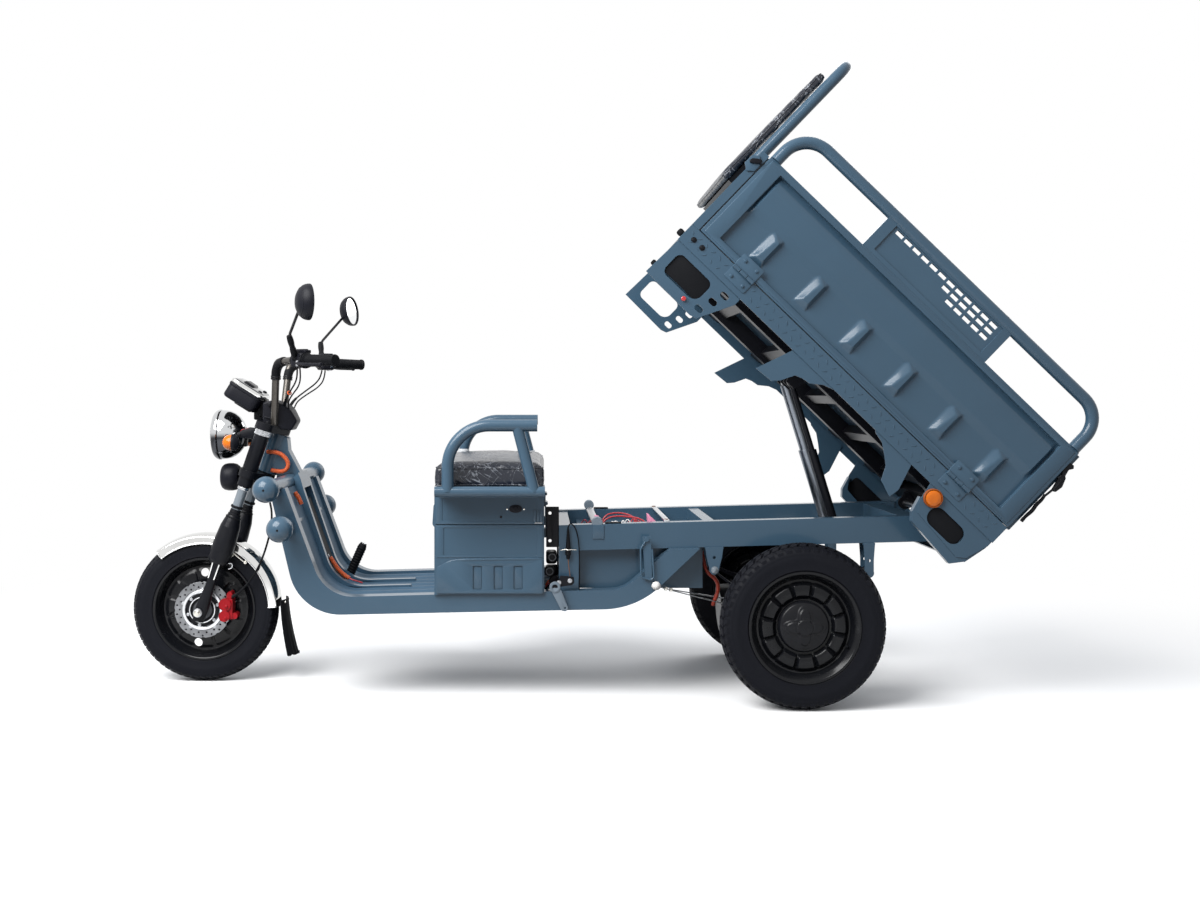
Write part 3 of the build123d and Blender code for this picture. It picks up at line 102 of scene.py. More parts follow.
def cloudiness(tree, place, scale, detail=2.0, **more):
    """Fac of a noise texture."""
    values = {"Vector": place, "Scale": scale, "Detail": detail}
    values.update({key.capitalize(): value for key, value in more.items()})
    return node(tree, "ShaderNodeTexNoise", values).outputs["Fac"]


def span(tree, value, low, high, **settings):
    """Value spread over 0 to 1 between low and high."""
    return node(tree, "ShaderNodeMapRange", {"Value": value, "From Min": low, "From Max": high},
        **settings).outputs["Result"]


def sees_backdrop(tree):
    """1 for the rays that see the backdrop itself: camera, glossy and transmission."""
    path = node(tree, "ShaderNodeLightPath").outputs
    straight = maths(tree, "MAXIMUM", path["Is Camera Ray"], path["Is Glossy Ray"])
    return maths(tree, "MAXIMUM", straight, path["Is Transmission Ray"])


def build_world():
    """Pale sky, greyer below, that lights the object; what sees the backdrop sees white."""
    world = bpy.data.worlds.new("studio")
    bpy.context.scene.world = world
    world.use_nodes = True
    tree = world.node_tree
    way = node(tree, "ShaderNodeTexCoord").outputs["Generated"]
    ramp = node(tree, "ShaderNodeValToRGB", {0: node(tree, "ShaderNodeSeparateXYZ", {0: way}).outputs["Z"]})
    low, high = ramp.color_ramp.elements
    low.position, low.color = 0.0, (0.20, 0.21, 0.23, 1)
    high.position, high.color = 0.9, (0.80, 0.82, 0.85, 1)
    mix = node(tree, "ShaderNodeMix", {"Factor": sees_backdrop(tree), "A": ramp.outputs["Color"], "B": (1, 1, 1, 1)},
        data_type="RGBA")
    tree.links.new(mix.outputs["Result"], tree.nodes["Background"].inputs["Color"])


def build_floor():
    """Pale floor: white around the object, with its soft shadow, and white out to the horizon."""
    mesh = bpy.data.meshes.new("floor")
    size = 30.0
    mesh.from_pydata([(-size, -size, 0), (size, -size, 0), (size, size, 0), (-size, size, 0)], [], [(0, 1, 2, 3)])
    floor = bpy.data.objects.new("floor", mesh)
    bpy.context.scene.collection.objects.link(floor)
    material = bpy.data.materials.new("studio floor")
    material.use_nodes = True
    tree = material.node_tree
    tree.nodes.remove(tree.nodes["Principled BSDF"])
    white = node(tree, "ShaderNodeEmission").outputs[0]
    seen = node(tree, "ShaderNodeBsdfDiffuse", {"Color": (0.92, 0.92, 0.92, 1)}).outputs[0]
    bounce = node(tree, "ShaderNodeBsdfDiffuse", {"Color": (0.22, 0.22, 0.22, 1)}).outputs[0]
    away = node(tree, "ShaderNodeVectorMath", {0: object_place(tree)}, operation="LENGTH").outputs["Value"]
    far = span(tree, away, 1.6, 3.4, interpolation_type="SMOOTHSTEP")
    shown = node(tree, "ShaderNodeMixShader", {0: far, 1: seen, 2: white}).outputs[0]
    both = node(tree, "ShaderNodeMixShader", {0: sees_backdrop(tree), 1: bounce, 2: shown}).outputs[0]
    tree.links.new(both, tree.nodes["Material Output"].inputs["Surface"])
    mesh.materials.append(material)


def build_lamps():
    """One wide soft light above the front left, and a weak one from behind."""
    for name, power, place, aim in (("key", 330.0, (-2.2, -2.4, 3.4), (0.1, 0, 0.6)),
            ("rear", 60.0, (2.2, 3.0, 3.2), (0.0, 0, 0.8))):
        light = bpy.data.lights.new(name, "AREA")
        light.energy, light.shape, light.size = power, "SQUARE", 3.0
        lamp = bpy.data.objects.new(name, light)
        lamp.location = place
        lamp.rotation_euler = (Vector(aim) - Vector(place)).to_track_quat("-Z", "Y").to_euler()
        bpy.context.scene.collection.objects.link(lamp)


build_camera()
build_world()
build_floor()
build_lamps()
bpy.context.scene.view_settings.view_transform = "Standard"


# ---- node groups shared by the finishes ----
def group(name, inputs, outputs):
    tree = bpy.data.node_groups.new(name, "ShaderNodeTree")
    for label, kind, value in inputs:
        socket = tree.interface.new_socket(label, in_out="INPUT", socket_type=kind)
        socket.default_value = value
    for label, kind in outputs:
        tree.interface.new_socket(label, in_out="OUTPUT", socket_type=kind)
    return tree, tree.nodes.new("NodeGroupInput"), tree.nodes.new("NodeGroupOutput")


FLOAT, COLOR, VECTOR = "NodeSocketFloat", "NodeSocketColor", "NodeSocketVector"


def blend_color(tree, factor, a, b, kind="MIX"):
    mixed = node(tree, "ShaderNodeMix", data_type="RGBA", blend_type=kind)
    for key, value in (("Factor", factor), ("A", a), ("B", b)):
        # the colour sockets of a Mix node are the last ones of their name
        socket = [s for s in mixed.inputs if s.name == key and s.enabled][0]
        if isinstance(value, bpy.types.NodeSocket):
            tree.links.new(value, socket)
        else:
            socket.default_value = value
    return [s for s in mixed.outputs if s.enabled][0]


def group_cloud():
    """Slow change of shade over a surface."""
    tree, given, out = group("shade drift", [("Color", COLOR, (0.5, 0.5, 0.5, 1)), ("Scale", FLOAT, 3.0),
            ("Amount", FLOAT, 0.15)], [("Color", COLOR), ("Mask", FLOAT)])
    cloud = span(tree, cloudiness(tree, object_place(tree), given.outputs["Scale"], 4.0, roughness=0.6), 0.3, 0.7)
    half = maths(tree, "MULTIPLY", given.outputs["Amount"], -0.5)
    gain = maths(tree, "ADD", maths(tree, "ADD", maths(tree, "MULTIPLY", cloud, given.outputs["Amount"]), half), 1.0)
    scaled = node(tree, "ShaderNodeVectorMath", {0: given.outputs["Color"], "Scale": gain}, operation="SCALE")
    tree.links.new(scaled.outputs[0], out.inputs["Color"])
    tree.links.new(cloud, out.inputs["Mask"])
    return tree


def upward(tree):
    """How far the surface faces up, -1 to 1."""
    normal = node(tree, "ShaderNodeNewGeometry").outputs["Normal"]
    return node(tree, "ShaderNodeSeparateXYZ", {0: normal}).outputs["Z"]


def group_dust():
    """Fine dust that settles on what faces up, thicker in patches."""
    tree, given, out = group("settled dust",
        [("Color", COLOR, (0.5, 0.5, 0.5, 1)), ("Dust Color", COLOR, (0.32, 0.30, 0.27, 1)), ("Amount", FLOAT, 0.2),
            ("Roughness", FLOAT, 0.4)], [("Color", COLOR), ("Roughness", FLOAT)])
    facing = span(tree, upward(tree), -0.2, 1.0)
    spread = span(tree, cloudiness(tree, object_place(tree), 9.0, 6.0, roughness=0.7), 0.38, 0.72)
    mask = maths(tree, "MULTIPLY", maths(tree, "MULTIPLY", facing, spread), given.outputs["Amount"], clamp=True)
    tree.links.new(blend_color(tree, mask, given.outputs["Color"], given.outputs["Dust Color"]), out.inputs["Color"])
    rough = maths(tree, "ADD", given.outputs["Roughness"], maths(tree, "MULTIPLY", mask, 0.5), clamp=True)
    tree.links.new(rough, out.inputs["Roughness"])
    return tree


def group_grain():
    """Fine uneven grain for a bump's height."""
    tree, given, out = group("fine grain", [("Scale", FLOAT, 400.0), ("Coarse", FLOAT, 0.2)], [("Height", FLOAT)])
    place = object_place(tree)
    fine = cloudiness(tree, place, given.outputs["Scale"])
    wide = cloudiness(tree, place, maths(tree, "MULTIPLY", given.outputs["Scale"], 0.08))
    both = maths(tree, "ADD", fine, maths(tree, "MULTIPLY", wide, given.outputs["Coarse"]))
    tree.links.new(both, out.inputs["Height"])
    return tree


def group_edge():
    """Worn, lighter edges, found from how the rounded normal leaves the true one, and that rounded normal."""
    tree, given, out = group("edge wear",
        [("Color", COLOR, (0.5, 0.5, 0.5, 1)), ("Worn Color", COLOR, (0.6, 0.6, 0.6, 1)), ("Radius", FLOAT, 0.002),
            ("Amount", FLOAT, 0.5)], [("Color", COLOR), ("Normal", VECTOR)])
    true_normal = node(tree, "ShaderNodeNewGeometry").outputs["Normal"]
    rounded = node(tree, "ShaderNodeBevel", {"Radius": given.outputs["Radius"]}, samples=4).outputs["Normal"]
    same = node(tree, "ShaderNodeVectorMath", {0: true_normal, 1: rounded}, operation="DOT_PRODUCT").outputs["Value"]
    edge = span(tree, same, 0.995, 0.86)
    spread = span(tree, cloudiness(tree, object_place(tree), 60.0, 4.0), 0.35, 0.65)
    mask = maths(tree, "MULTIPLY", maths(tree, "MULTIPLY", edge, spread), given.outputs["Amount"], clamp=True)
    tree.links.new(blend_color(tree, mask, given.outputs["Color"], given.outputs["Worn Color"]), out.inputs["Color"])
    tree.links.new(rounded, out.inputs["Normal"])
    return tree


DRIFT, DUST, GRAIN, EDGE = group_cloud(), group_dust(), group_grain(), group_edge()


# ---- finishes ----
def placed_group(tree, shared, values):
    """A shared node group placed in a finish, with that finish's own values."""
    return set_inputs(tree, node(tree, "ShaderNodeGroup", node_tree=shared), values)


def finish(name, color, rough, metal=0.0, drift=0.12, drift_scale=3.0, dust=0.1, edge=0.3, worn=None, radius=0.0015,
        grain=600.0, coarse=0.2, depth=0.02, specular=0.5, sockets=None):
    """A finish with slow shade drift, dust, rounded worn edges and a fine grain."""
    material = bpy.data.materials.new(name)
    material.use_nodes = True
    tree = material.node_tree
    shader = tree.nodes["Principled BSDF"]
    shader.inputs["Metallic"].default_value = metal
    shader.inputs["Specular IOR Level"].default_value = specular
    set_inputs(tree, shader, sockets or {})
    worn = worn or tuple(min(1.0, c * 1.7 + 0.03) for c in color)
    drifted = placed_group(tree, DRIFT, {"Color": (*color, 1), "Scale": drift_scale, "Amount": drift})
    edged = placed_group(tree, EDGE, {"Color": drifted.outputs["Color"], "Worn Color": (*worn, 1), "Radius": radius,
            "Amount": edge})
    dusted = placed_group(tree, DUST, {"Color": edged.outputs["Color"], "Amount": dust, "Roughness": rough})
    grained = placed_group(tree, GRAIN, {"Scale": grain, "Coarse": coarse})
    bump = node(tree, "ShaderNodeBump",
        {"Strength": 1.0, "Distance": depth / 1000, "Height": grained.outputs["Height"],
            "Normal": edged.outputs["Normal"]})
    set_inputs(tree, shader, {"Base Color": dusted.outputs["Color"], "Roughness": dusted.outputs["Roughness"],
            "Normal": bump.outputs["Normal"]})
    return material


PAINT = finish("slate paint", (0.040, 0.083, 0.128), 0.34, dust=0.05, drift=0.10, edge=0.22, grain=220, coarse=0.4,
    depth=0.04, sockets={"Coat Weight": 0.55, "Coat Roughness": 0.14, "Coat IOR": 1.45}, specular=0.12)
BLACK = finish("black paint", (0.0045, 0.005, 0.0075), 0.36, dust=0.03, edge=0.12, worn=(0.03, 0.033, 0.04),
    specular=0.14)
PLASTIC = finish("black plastic", (0.005, 0.0055, 0.009), 0.46, dust=0.025, edge=0.15, worn=(0.03, 0.033, 0.045),
    grain=900, depth=0.06, specular=0.14)
RUBBER = finish("rubber", (0.004, 0.0045, 0.006), 0.6, dust=0.03, edge=0.15, worn=(0.02, 0.022, 0.026), grain=700,
    depth=0.06, specular=0.10)
TYRE = finish("tyre rubber", (0.0050, 0.0056, 0.0085), 0.55, dust=0.02, edge=0.25, worn=(0.018, 0.02, 0.027),
    grain=500, coarse=0.5, depth=0.08, specular=0.10)
CHROME = finish("bright plating", (0.74, 0.74, 0.73), 0.07, metal=1.0, drift=0.12, drift_scale=9, dust=0.04, edge=0.0,
    depth=0.004)
STEEL = finish("bare steel", (0.42, 0.43, 0.45), 0.28, metal=1.0, drift=0.2, drift_scale=30, dust=0.1, edge=0.2,
    depth=0.03)
LIFT = finish("plated lift steel", (0.20, 0.22, 0.25), 0.28, metal=1.0, drift=0.2, dust=0.08)
RED = finish("red paint", (0.30, 0.003, 0.008), 0.34, drift=0.25, dust=0.02, worn=(0.42, 0.03, 0.04), specular=0.22)
RED_LENS = finish("red lens", (0.45, 0.008, 0.012), 0.15, drift=0.1, dust=0.02, edge=0.0,
    sockets={"Coat Weight": 0.5})
AMBER = finish("amber lens", (0.58, 0.13, 0.004), 0.12, drift=0.35, drift_scale=22, dust=0.0, edge=0.0, specular=0.3)
CONDUIT = finish("orange conduit", (0.50, 0.085, 0.022), 0.42, drift=0.2, drift_scale=14, dust=0.05,
    worn=(0.75, 0.25, 0.1), specular=0.3)
LEAD = finish("red lead", (0.40, 0.03, 0.04), 0.4, drift=0.1, dust=0.02)
WHITE_LEAD = finish("white lead", (0.72, 0.70, 0.68), 0.4, drift=0.1, dust=0.02)
PINK = finish("pink foam", (0.72, 0.26, 0.40), 0.7, drift=0.15, dust=0.02, grain=300, depth=0.3)
VINYL = finish("grained vinyl", (0.014, 0.018, 0.026), 0.42, drift=0.2, dust=0.03, grain=420, coarse=0.6, depth=0.2,
    specular=0.25)
BLACK_GLOSS = finish("gloss black wheel paint", (0.004, 0.0045, 0.006), 0.2, drift=0.1, dust=0.02, edge=0.15,
    worn=(0.03, 0.033, 0.04), grain=160, coarse=0.5, depth=0.04,
    sockets={"Coat Weight": 0.16, "Coat Roughness": 0.14}, specular=0.12)
BLACK_SATIN = finish("satin black cap", (0.0045, 0.005, 0.007), 0.3, drift=0.1, dust=0.03, edge=0.15,
    worn=(0.04, 0.043, 0.05), grain=200, coarse=0.5, depth=0.04,
    sockets={"Coat Weight": 0.12, "Coat Roughness": 0.14}, specular=0.12)
BRIGHT = finish("turned bright steel", (0.62, 0.63, 0.65), 0.25, metal=1.0, drift=0.15, drift_scale=20, dust=0.03,
    edge=0.0, depth=0.02)
CAST = finish("dark cast alloy", (0.10, 0.105, 0.115), 0.5, metal=0.7, drift=0.2, dust=0.05, depth=0.08)
ZINC = finish("zinc plating", (0.62, 0.60, 0.55), 0.26, metal=1.0, drift=0.15, drift_scale=40, dust=0.05, edge=0.1,
    depth=0.02)
RUST = finish("rusty fastener", (0.16, 0.07, 0.035), 0.7, metal=0.3, drift=0.4, drift_scale=60, dust=0.1, depth=0.1)
FINISHES = {"body_paint": PAINT, "black_paint": BLACK, "black_plastic": PLASTIC, "rubber": RUBBER, "tyre": TYRE,
    "chrome": CHROME, "bare_steel": STEEL, "lift_metal": LIFT, "red_paint": RED, "amber_lens": AMBER,
    "seat_leather": VINYL, "orange_conduit": CONDUIT}
# the colour slot that each finish goes by, unless a piece says otherwise
for row in frame["record"]["subparts"]:
    mesh = NODES[row["node"]].data
    mesh.materials.clear()
    mesh.materials.append(FINISHES[row["material_slot"]])


# ---- shaping helpers; lengths in millimetres until a piece is placed ----
def walled(side):
    """Places a shape drawn as (along, up, outward) on the left or the right of the vehicle."""
    return Matrix(((1, 0, 0, 0), (0, 0, side, 0), (0, 1, 0, 0), (0, 0, 0, 1)))


MM = Matrix.Translation((SHIFT, 0, 0)) @ Matrix.Scale(0.001, 4)
NEAR = MM @ walled(-1)
ACROSS = Matrix(((0, 0, 1, 0), (1, 0, 0, 0), (0, 1, 0, 0), (0, 0, 0, 1)))      # drawn as (across, up, to the rear)
SIDES = ((-1, "left"), (1, "right"))
BED_MM = BED @ Matrix.Scale(0.001, 4)
BODY_OF = {name: body for body, names in frame["record"]["behaviour"]["bodies"].items() for name in names}


def move(x=0.0, y=0.0, z=0.0):
    return Matrix.Translation((x, y, z))


def turn(angle, axis):
    return Matrix.Rotation(radians(angle), 4, axis)


def aim(start, end):
    """Turns and moves a shape drawn up its own Z so that it starts at one point and heads for another."""
    start, end = Vector(start), Vector(end)
    return Matrix.Translation(start) @ (end - start).to_track_quat("Z", "Y").to_matrix().to_4x4()


def outward(x, y, z, side):
    """Z of the shape to the outside of the vehicle, its X still to the rear."""
    return move(x, y, z) @ turn(90 if side < 0 else -90, "X")


def polar(radius, angle):
    return radius * cos(angle), radius * sin(angle)


def set_in(shape, place):
    shape.transform(place)
    if place.determinant() < 0:
        bmesh.ops.reverse_faces(shape, faces=shape.faces)
    return shape


def lathe(profile, steps=48, closed=False):
    """Profile of (radius, height) spun about Z. An open profile starts and ends on the axis or is left a skin."""
    shape = bmesh.new()
    rings = []
    for radius, height in profile:
        if radius < 1e-6:
            rings.append([shape.verts.new((0, 0, height))])
        else:
            rings.append([shape.verts.new((*polar(radius, ROUND * i / steps), height)) for i in range(steps)])
    pairs = list(zip(rings, rings[1:]))
    if closed:
        pairs.append((rings[-1], rings[0]))
    for low, high in pairs:
        for i in range(steps):
            j = (i + 1) % steps
            if len(low) == 1 and len(high) > 1:
                shape.faces.new((low[0], high[j], high[i]))
            elif len(high) == 1 and len(low) > 1:
                shape.faces.new((low[i], low[j], high[0]))
            elif len(low) > 1:
                shape.faces.new((low[i], low[j], high[j], high[i]))
    bmesh.ops.recalc_face_normals(shape, faces=shape.faces)
    return shape


def eased(inner, outer, low, high, back, ease, steps=32):
    """A ring up Z between two heights, or a round bar when inner is 0, its outer edges eased."""
    profile = [(inner, low), (outer - back, low), (outer, low + ease), (outer, high - ease), (outer - back, high),
        (inner, high)]
    return lathe(profile, steps, closed=inner > 0)


def bevel(shape, width, segments=2, angle=30):
    edges = [e for e in shape.edges if len(e.link_faces) == 2 and e.calc_face_angle(0) > radians(angle)]
    if width > 0 and edges:
        bmesh.ops.bevel(shape, geom=edges, offset=width, segments=segments, profile=0.5, affect="EDGES",
            clamp_overlap=True)
    return shape


def linked(name, data):
    """A new object that holds the data, in the scene."""
    made = bpy.data.objects.new(name, data)
    bpy.context.scene.collection.objects.link(made)
    return made


def as_object(name, shape):
    """The shape as an object of its own, and the shape itself freed."""
    mesh = bpy.data.meshes.new(name)
    shape.to_mesh(mesh)
    shape.free()
    return linked(name, mesh)


def evaluated(made):
    """A plain mesh of what the object's modifiers make."""
    bpy.context.view_layer.update()
    return bpy.data.meshes.new_from_object(made.evaluated_get(bpy.context.evaluated_depsgraph_get()))


def prism(outline, low, high, soft=0.0, holes=(), segments=2):
    """Flat outline raised along Z between two heights, with round-ended or polygonal holes."""
    shape = bmesh.new()
    loops = [outline, *holes]
    edges = []
    for loop in loops:
        verts = [shape.verts.new((x, y, low)) for x, y in loop]
        edges += [shape.edges.new((a, b)) for a, b in zip(verts, verts[1:] + verts[:1])]
    if holes:
        bmesh.ops.triangle_fill(shape, edges=edges, use_beauty=True)
        bmesh.ops.dissolve_limit(shape, angle_limit=0.01, verts=shape.verts, edges=shape.edges)
    else:
        shape.faces.new(shape.verts)
    raised = bmesh.ops.extrude_face_region(shape, geom=shape.faces[:])
    tops = [v for v in raised["geom"] if isinstance(v, bmesh.types.BMVert)]
    bmesh.ops.translate(shape, verts=tops, vec=(0, 0, high - low))
    bmesh.ops.recalc_face_normals(shape, faces=shape.faces)
    return bevel(shape, soft, segments, 50)


def brick(width, depth, height, soft=0.0, segments=2):
    """Block centred on the origin."""
    shape = bmesh.new()
    bmesh.ops.create_cube(shape, size=1.0, matrix=Matrix.Diagonal((width, depth, height, 1)))
    return bevel(shape, soft, segments)


def ball(radius, steps=24):
    shape = bmesh.new()
    bmesh.ops.create_uvsphere(shape, u_segments=steps, v_segments=steps // 2, radius=radius)
    return shape


def rounded(points, radii, steps=5):
    """An outline whose corners are rounded, each by its own radius."""
    points = [Vector(p) for p in points]
    count = len(points)
    radii = radii if isinstance(radii, (list, tuple)) else [radii] * count
    out = []
    for i, (here, radius) in enumerate(zip(points, radii)):
        to_last = (points[i - 1] - here)
        to_next = (points[(i + 1) % count] - here)
        half = to_last.angle(to_next) / 2
        reach = min(radius / max(tan(half), 1e-4), 0.49 * to_last.length, 0.49 * to_next.length)
        if reach < 0.01:
            out.append(here)
            continue
        a, b = here + to_last.normalized() * reach, here + to_next.normalized() * reach
        for k in range(steps + 1):
            t = k / steps
            # quadratic blend: close to the arc and tangent to both sides
            out.append(a * (1 - t) ** 2 + here * 2 * t * (1 - t) + b * t * t)
    return [(p[0], p[1]) for p in out]


def box_outline(x_low, x_high, y_low, y_high, radius=0.0, steps=5):
    corners = [(x_low, y_low), (x_high, y_low), (x_high, y_high), (x_low, y_high)]
    return rounded(corners, radius, steps) if radius > 0 else corners


def circle(x, y, radius, steps=24):
    return [(x + radius * cos(ROUND * i / steps), y + radius * sin(ROUND * i / steps)) for i in range(steps)]


def spline_points(points, count=12, closed=False):
    """Points along a NURBS line of order 3, as many between two of the given ones as count says."""
    curve = bpy.data.curves.new("route", "CURVE")
    curve.dimensions = "3D"
    line = curve.splines.new("NURBS")
    line.points.add(len(points) - 1)
    for point, place in zip(line.points, points):
        point.co = (*place, 1)
    line.order_u = 3
    line.use_endpoint_u = True
    line.use_cyclic_u = closed
    line.resolution_u = count
    holder = linked("route", curve)
    bpy.context.view_layer.update()
    mesh = bpy.data.meshes.new_from_object(holder)
    path = [v.co.copy() for v in mesh.vertices]
    bpy.data.objects.remove(holder)
    return path


def pipe(path, radius, steps=12, caps=True, swell=None):
    """Round section along a list of points; swell gives the radius at each share of the way."""
    path = [Vector(p) for p in path]
    shape = bmesh.new()
    normal = None
    rings = []
    total = sum((b - a).length for a, b in zip(path, path[1:]))
    gone = 0.0
    for i, point in enumerate(path):
        heading = (path[min(i + 1, len(path) - 1)] - path[max(i - 1, 0)]).normalized()
        if normal is None:
            normal = heading.orthogonal().normalized()
        normal = (normal - heading * normal.dot(heading)).normalized()
        other = heading.cross(normal)
        gone += (point - path[i - 1]).length if i else 0.0
        size = swell(gone / total) if swell else radius
        rings.append([shape.verts.new(point + (normal * cos(ROUND * k / steps) + other * sin(ROUND * k / steps))
                * size) for k in range(steps)])
    for low, high in zip(rings, rings[1:]):
        for k in range(steps):
            shape.faces.new((low[k], low[(k + 1) % steps], high[(k + 1) % steps], high[k]))
    if caps:
        shape.faces.new(rings[0][::-1])
        shape.faces.new(rings[-1])
    bmesh.ops.recalc_face_normals(shape, faces=shape.faces)
    return shape


def sheet(upper, lower):
    """A thin closed sheet between two grids of points, its edges filled on all four sides."""
    shape = bmesh.new()
    upper, lower = ([[shape.verts.new(spot) for spot in row] for row in grid] for grid in (upper, lower))
    rows, columns = len(upper), len(upper[0])
    for i in range(rows - 1):
        for k in range(columns - 1):
            for grid in (upper, lower):
                shape.faces.new((grid[i][k], grid[i][k + 1], grid[i + 1][k + 1], grid[i + 1][k]))
        for k in (0, columns - 1):
            shape.faces.new((upper[i][k], upper[i + 1][k], lower[i + 1][k], lower[i][k]))
    for i in (0, rows - 1):
        for k in range(columns - 1):
            shape.faces.new((upper[i][k], upper[i][k + 1], lower[i][k + 1], lower[i][k]))
    bmesh.ops.recalc_face_normals(shape, faces=shape.faces)
    return shape


def joined(shapes):
    """One shape from many, kept as separate shells."""
    whole = bmesh.new()
    for shape in shapes:
        mesh = bpy.data.meshes.new("shell")
        shape.to_mesh(mesh)
        shape.free()
        whole.from_mesh(mesh)
        bpy.data.meshes.remove(mesh)
    return whole


def part(name, shapes, finish, body="steering", place=MM, sharp=32, replaces=None):
    """A finished piece from one or more shapes: placed, smoothed up to sharp edges, riding on a body."""
    made = as_object(name, set_in(joined(shapes if isinstance(shapes, list) else [shapes]), place))
    made.data.shade_smooth()
    made.data.set_sharp_from_angle(angle=radians(sharp))
    made.data.materials.append(finish)
    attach(made, body)
    if replaces:
        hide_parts(replaces)
    return made


def copies_tree():
    """Geometry nodes: one shape at every point, turned by the point's own angles, then made real."""
    tree = bpy.data.node_groups.new("copies at points", "GeometryNodeTree")
    for label, kind, way in (("Geometry", "NodeSocketGeometry", "INPUT"), ("Shape", "NodeSocketObject", "INPUT"),
            ("Finish", "NodeSocketMaterial", "INPUT"), ("Geometry", "NodeSocketGeometry", "OUTPUT")):
        tree.interface.new_socket(label, in_out=way, socket_type=kind)
    given, out = tree.nodes.new("NodeGroupInput"), tree.nodes.new("NodeGroupOutput")
    pattern = node(tree, "GeometryNodeObjectInfo", {"Object": given.outputs["Shape"]}).outputs["Geometry"]
    angles = node(tree, "GeometryNodeInputNamedAttribute", {"Name": "angles"},
        data_type="FLOAT_VECTOR").outputs["Attribute"]
    lay = node(tree, "GeometryNodeInstanceOnPoints", {"Points": given.outputs["Geometry"], "Instance": pattern,
            "Rotation": node(tree, "FunctionNodeEulerToRotation", {0: angles}).outputs[0]})
    real = node(tree, "GeometryNodeRealizeInstances", {"Geometry": lay.outputs["Instances"]})
    dress = node(tree, "GeometryNodeSetMaterial",
        {"Geometry": real.outputs["Geometry"], "Material": given.outputs["Finish"]})
    tree.links.new(dress.outputs["Geometry"], out.inputs["Geometry"])
    return tree


COPIES = copies_tree()


def copies(name, shape, places, finish, body="steering", place=MM, sharp=32):
    """Many copies of one shape, each at its own place (a matrix without scale), as one piece."""
    pattern = as_object("pattern", shape)
    points = bpy.data.meshes.new("points")
    points.from_pydata([m.to_translation() for m in places], [], [])
    angles = points.attributes.new("angles", "FLOAT_VECTOR", "POINT")
    for value, m in zip(angles.data, places):
        value.vector = m.to_euler("XYZ")
    holder = linked("holder", points)
    steps = holder.modifiers.new("copies", "NODES")
    steps.node_group = COPIES
    keys = {item.name: item.identifier for item in COPIES.interface.items_tree if item.in_out == "INPUT"}
    steps[keys["Shape"]] = pattern
    steps[keys["Finish"]] = finish
    made = bmesh.new()
    made.from_mesh(evaluated(holder))
    for leftover in (holder, pattern):
        bpy.data.objects.remove(leftover)
    return part(name, made, finish, body, place, sharp)


# ---- wheels ----
FRONT_AXLE = (-1105.0, 240.0)
REAR_AXLE = (790.0, 250.0)
TRACK_HALF = 405.0


def smooth_step(value):
    value = max(0.0, min(1.0, value))
    return value * value * (3 - 2 * value)


def relief(r_in, r_out, height, thick, steps_out=16, steps_round=144):
    """Closed round plate whose upper face stands at height(radius, angle)."""
    shape = bmesh.new()
    faces = []
    angles = [ROUND * k / steps_round for k in range(steps_round)]
    for drop in (0.0, thick):
        grid = []
        for i in range(steps_out + 1):
            r = r_in + (r_out - r_in) * i / steps_out
            grid.append([shape.verts.new((*polar(r, angle), height(r, angle) - drop)) for angle in angles])
        faces.append(grid)
    top, bottom = faces
    for k in range(steps_round):
        j = (k + 1) % steps_round
        for i in range(steps_out):
            shape.faces.new((top[i][k], top[i + 1][k], top[i + 1][j], top[i][j]))
            shape.faces.new((bottom[i][k], bottom[i][j], bottom[i + 1][j], bottom[i + 1][k]))
        shape.faces.new((top[0][k], top[0][j], bottom[0][j], bottom[0][k]))
        shape.faces.new((top[-1][k], bottom[-1][k], bottom[-1][j], top[-1][j]))
    bmesh.ops.recalc_face_normals(shape, faces=shape.faces)
    return shape


def cut(name, shape, cutters):
    """Shape with other shapes taken away, through a Boolean modifier."""
    whole, cutter = as_object(name, shape), as_object(name, joined(cutters))
    step = whole.modifiers.new("cut", "BOOLEAN")
    step.object, step.operation, step.solver = cutter, "DIFFERENCE", "EXACT"
    out = bmesh.new()
    out.from_mesh(evaluated(whole))
    for item in (whole, cutter):
        bpy.data.objects.remove(item)
    return out


def tyre_profile(radius, half, bead_r, tread_depth):
    """Section of a tyre's carcass: beads, ribbed walls and the bottom of the tread."""
    wall = radius - bead_r
    bead = ((0, 11), (4, 8.5), (8, 8), (10, 9.2), (14, 5.5), (16, 6.2))
    side = ((0.36, 0.8), (0.40, 1.2), (0.44, 0.2), (0.60, 0.2), (0.63, 1.4), (0.66, 0.9), (0.74, 3.2), (0.80, 6))
    outer = [(bead_r + out, half - inset) for out, inset in bead]
    outer += [(bead_r + share * wall, half - inset) for share, inset in side]
    outer += [(radius - 10 - tread_depth * 0.5, half - 11), (radius - tread_depth - 3, half - 20),
        (radius - tread_depth, 6)]
    return outer + [(r, -h) for r, h in reversed(outer)]


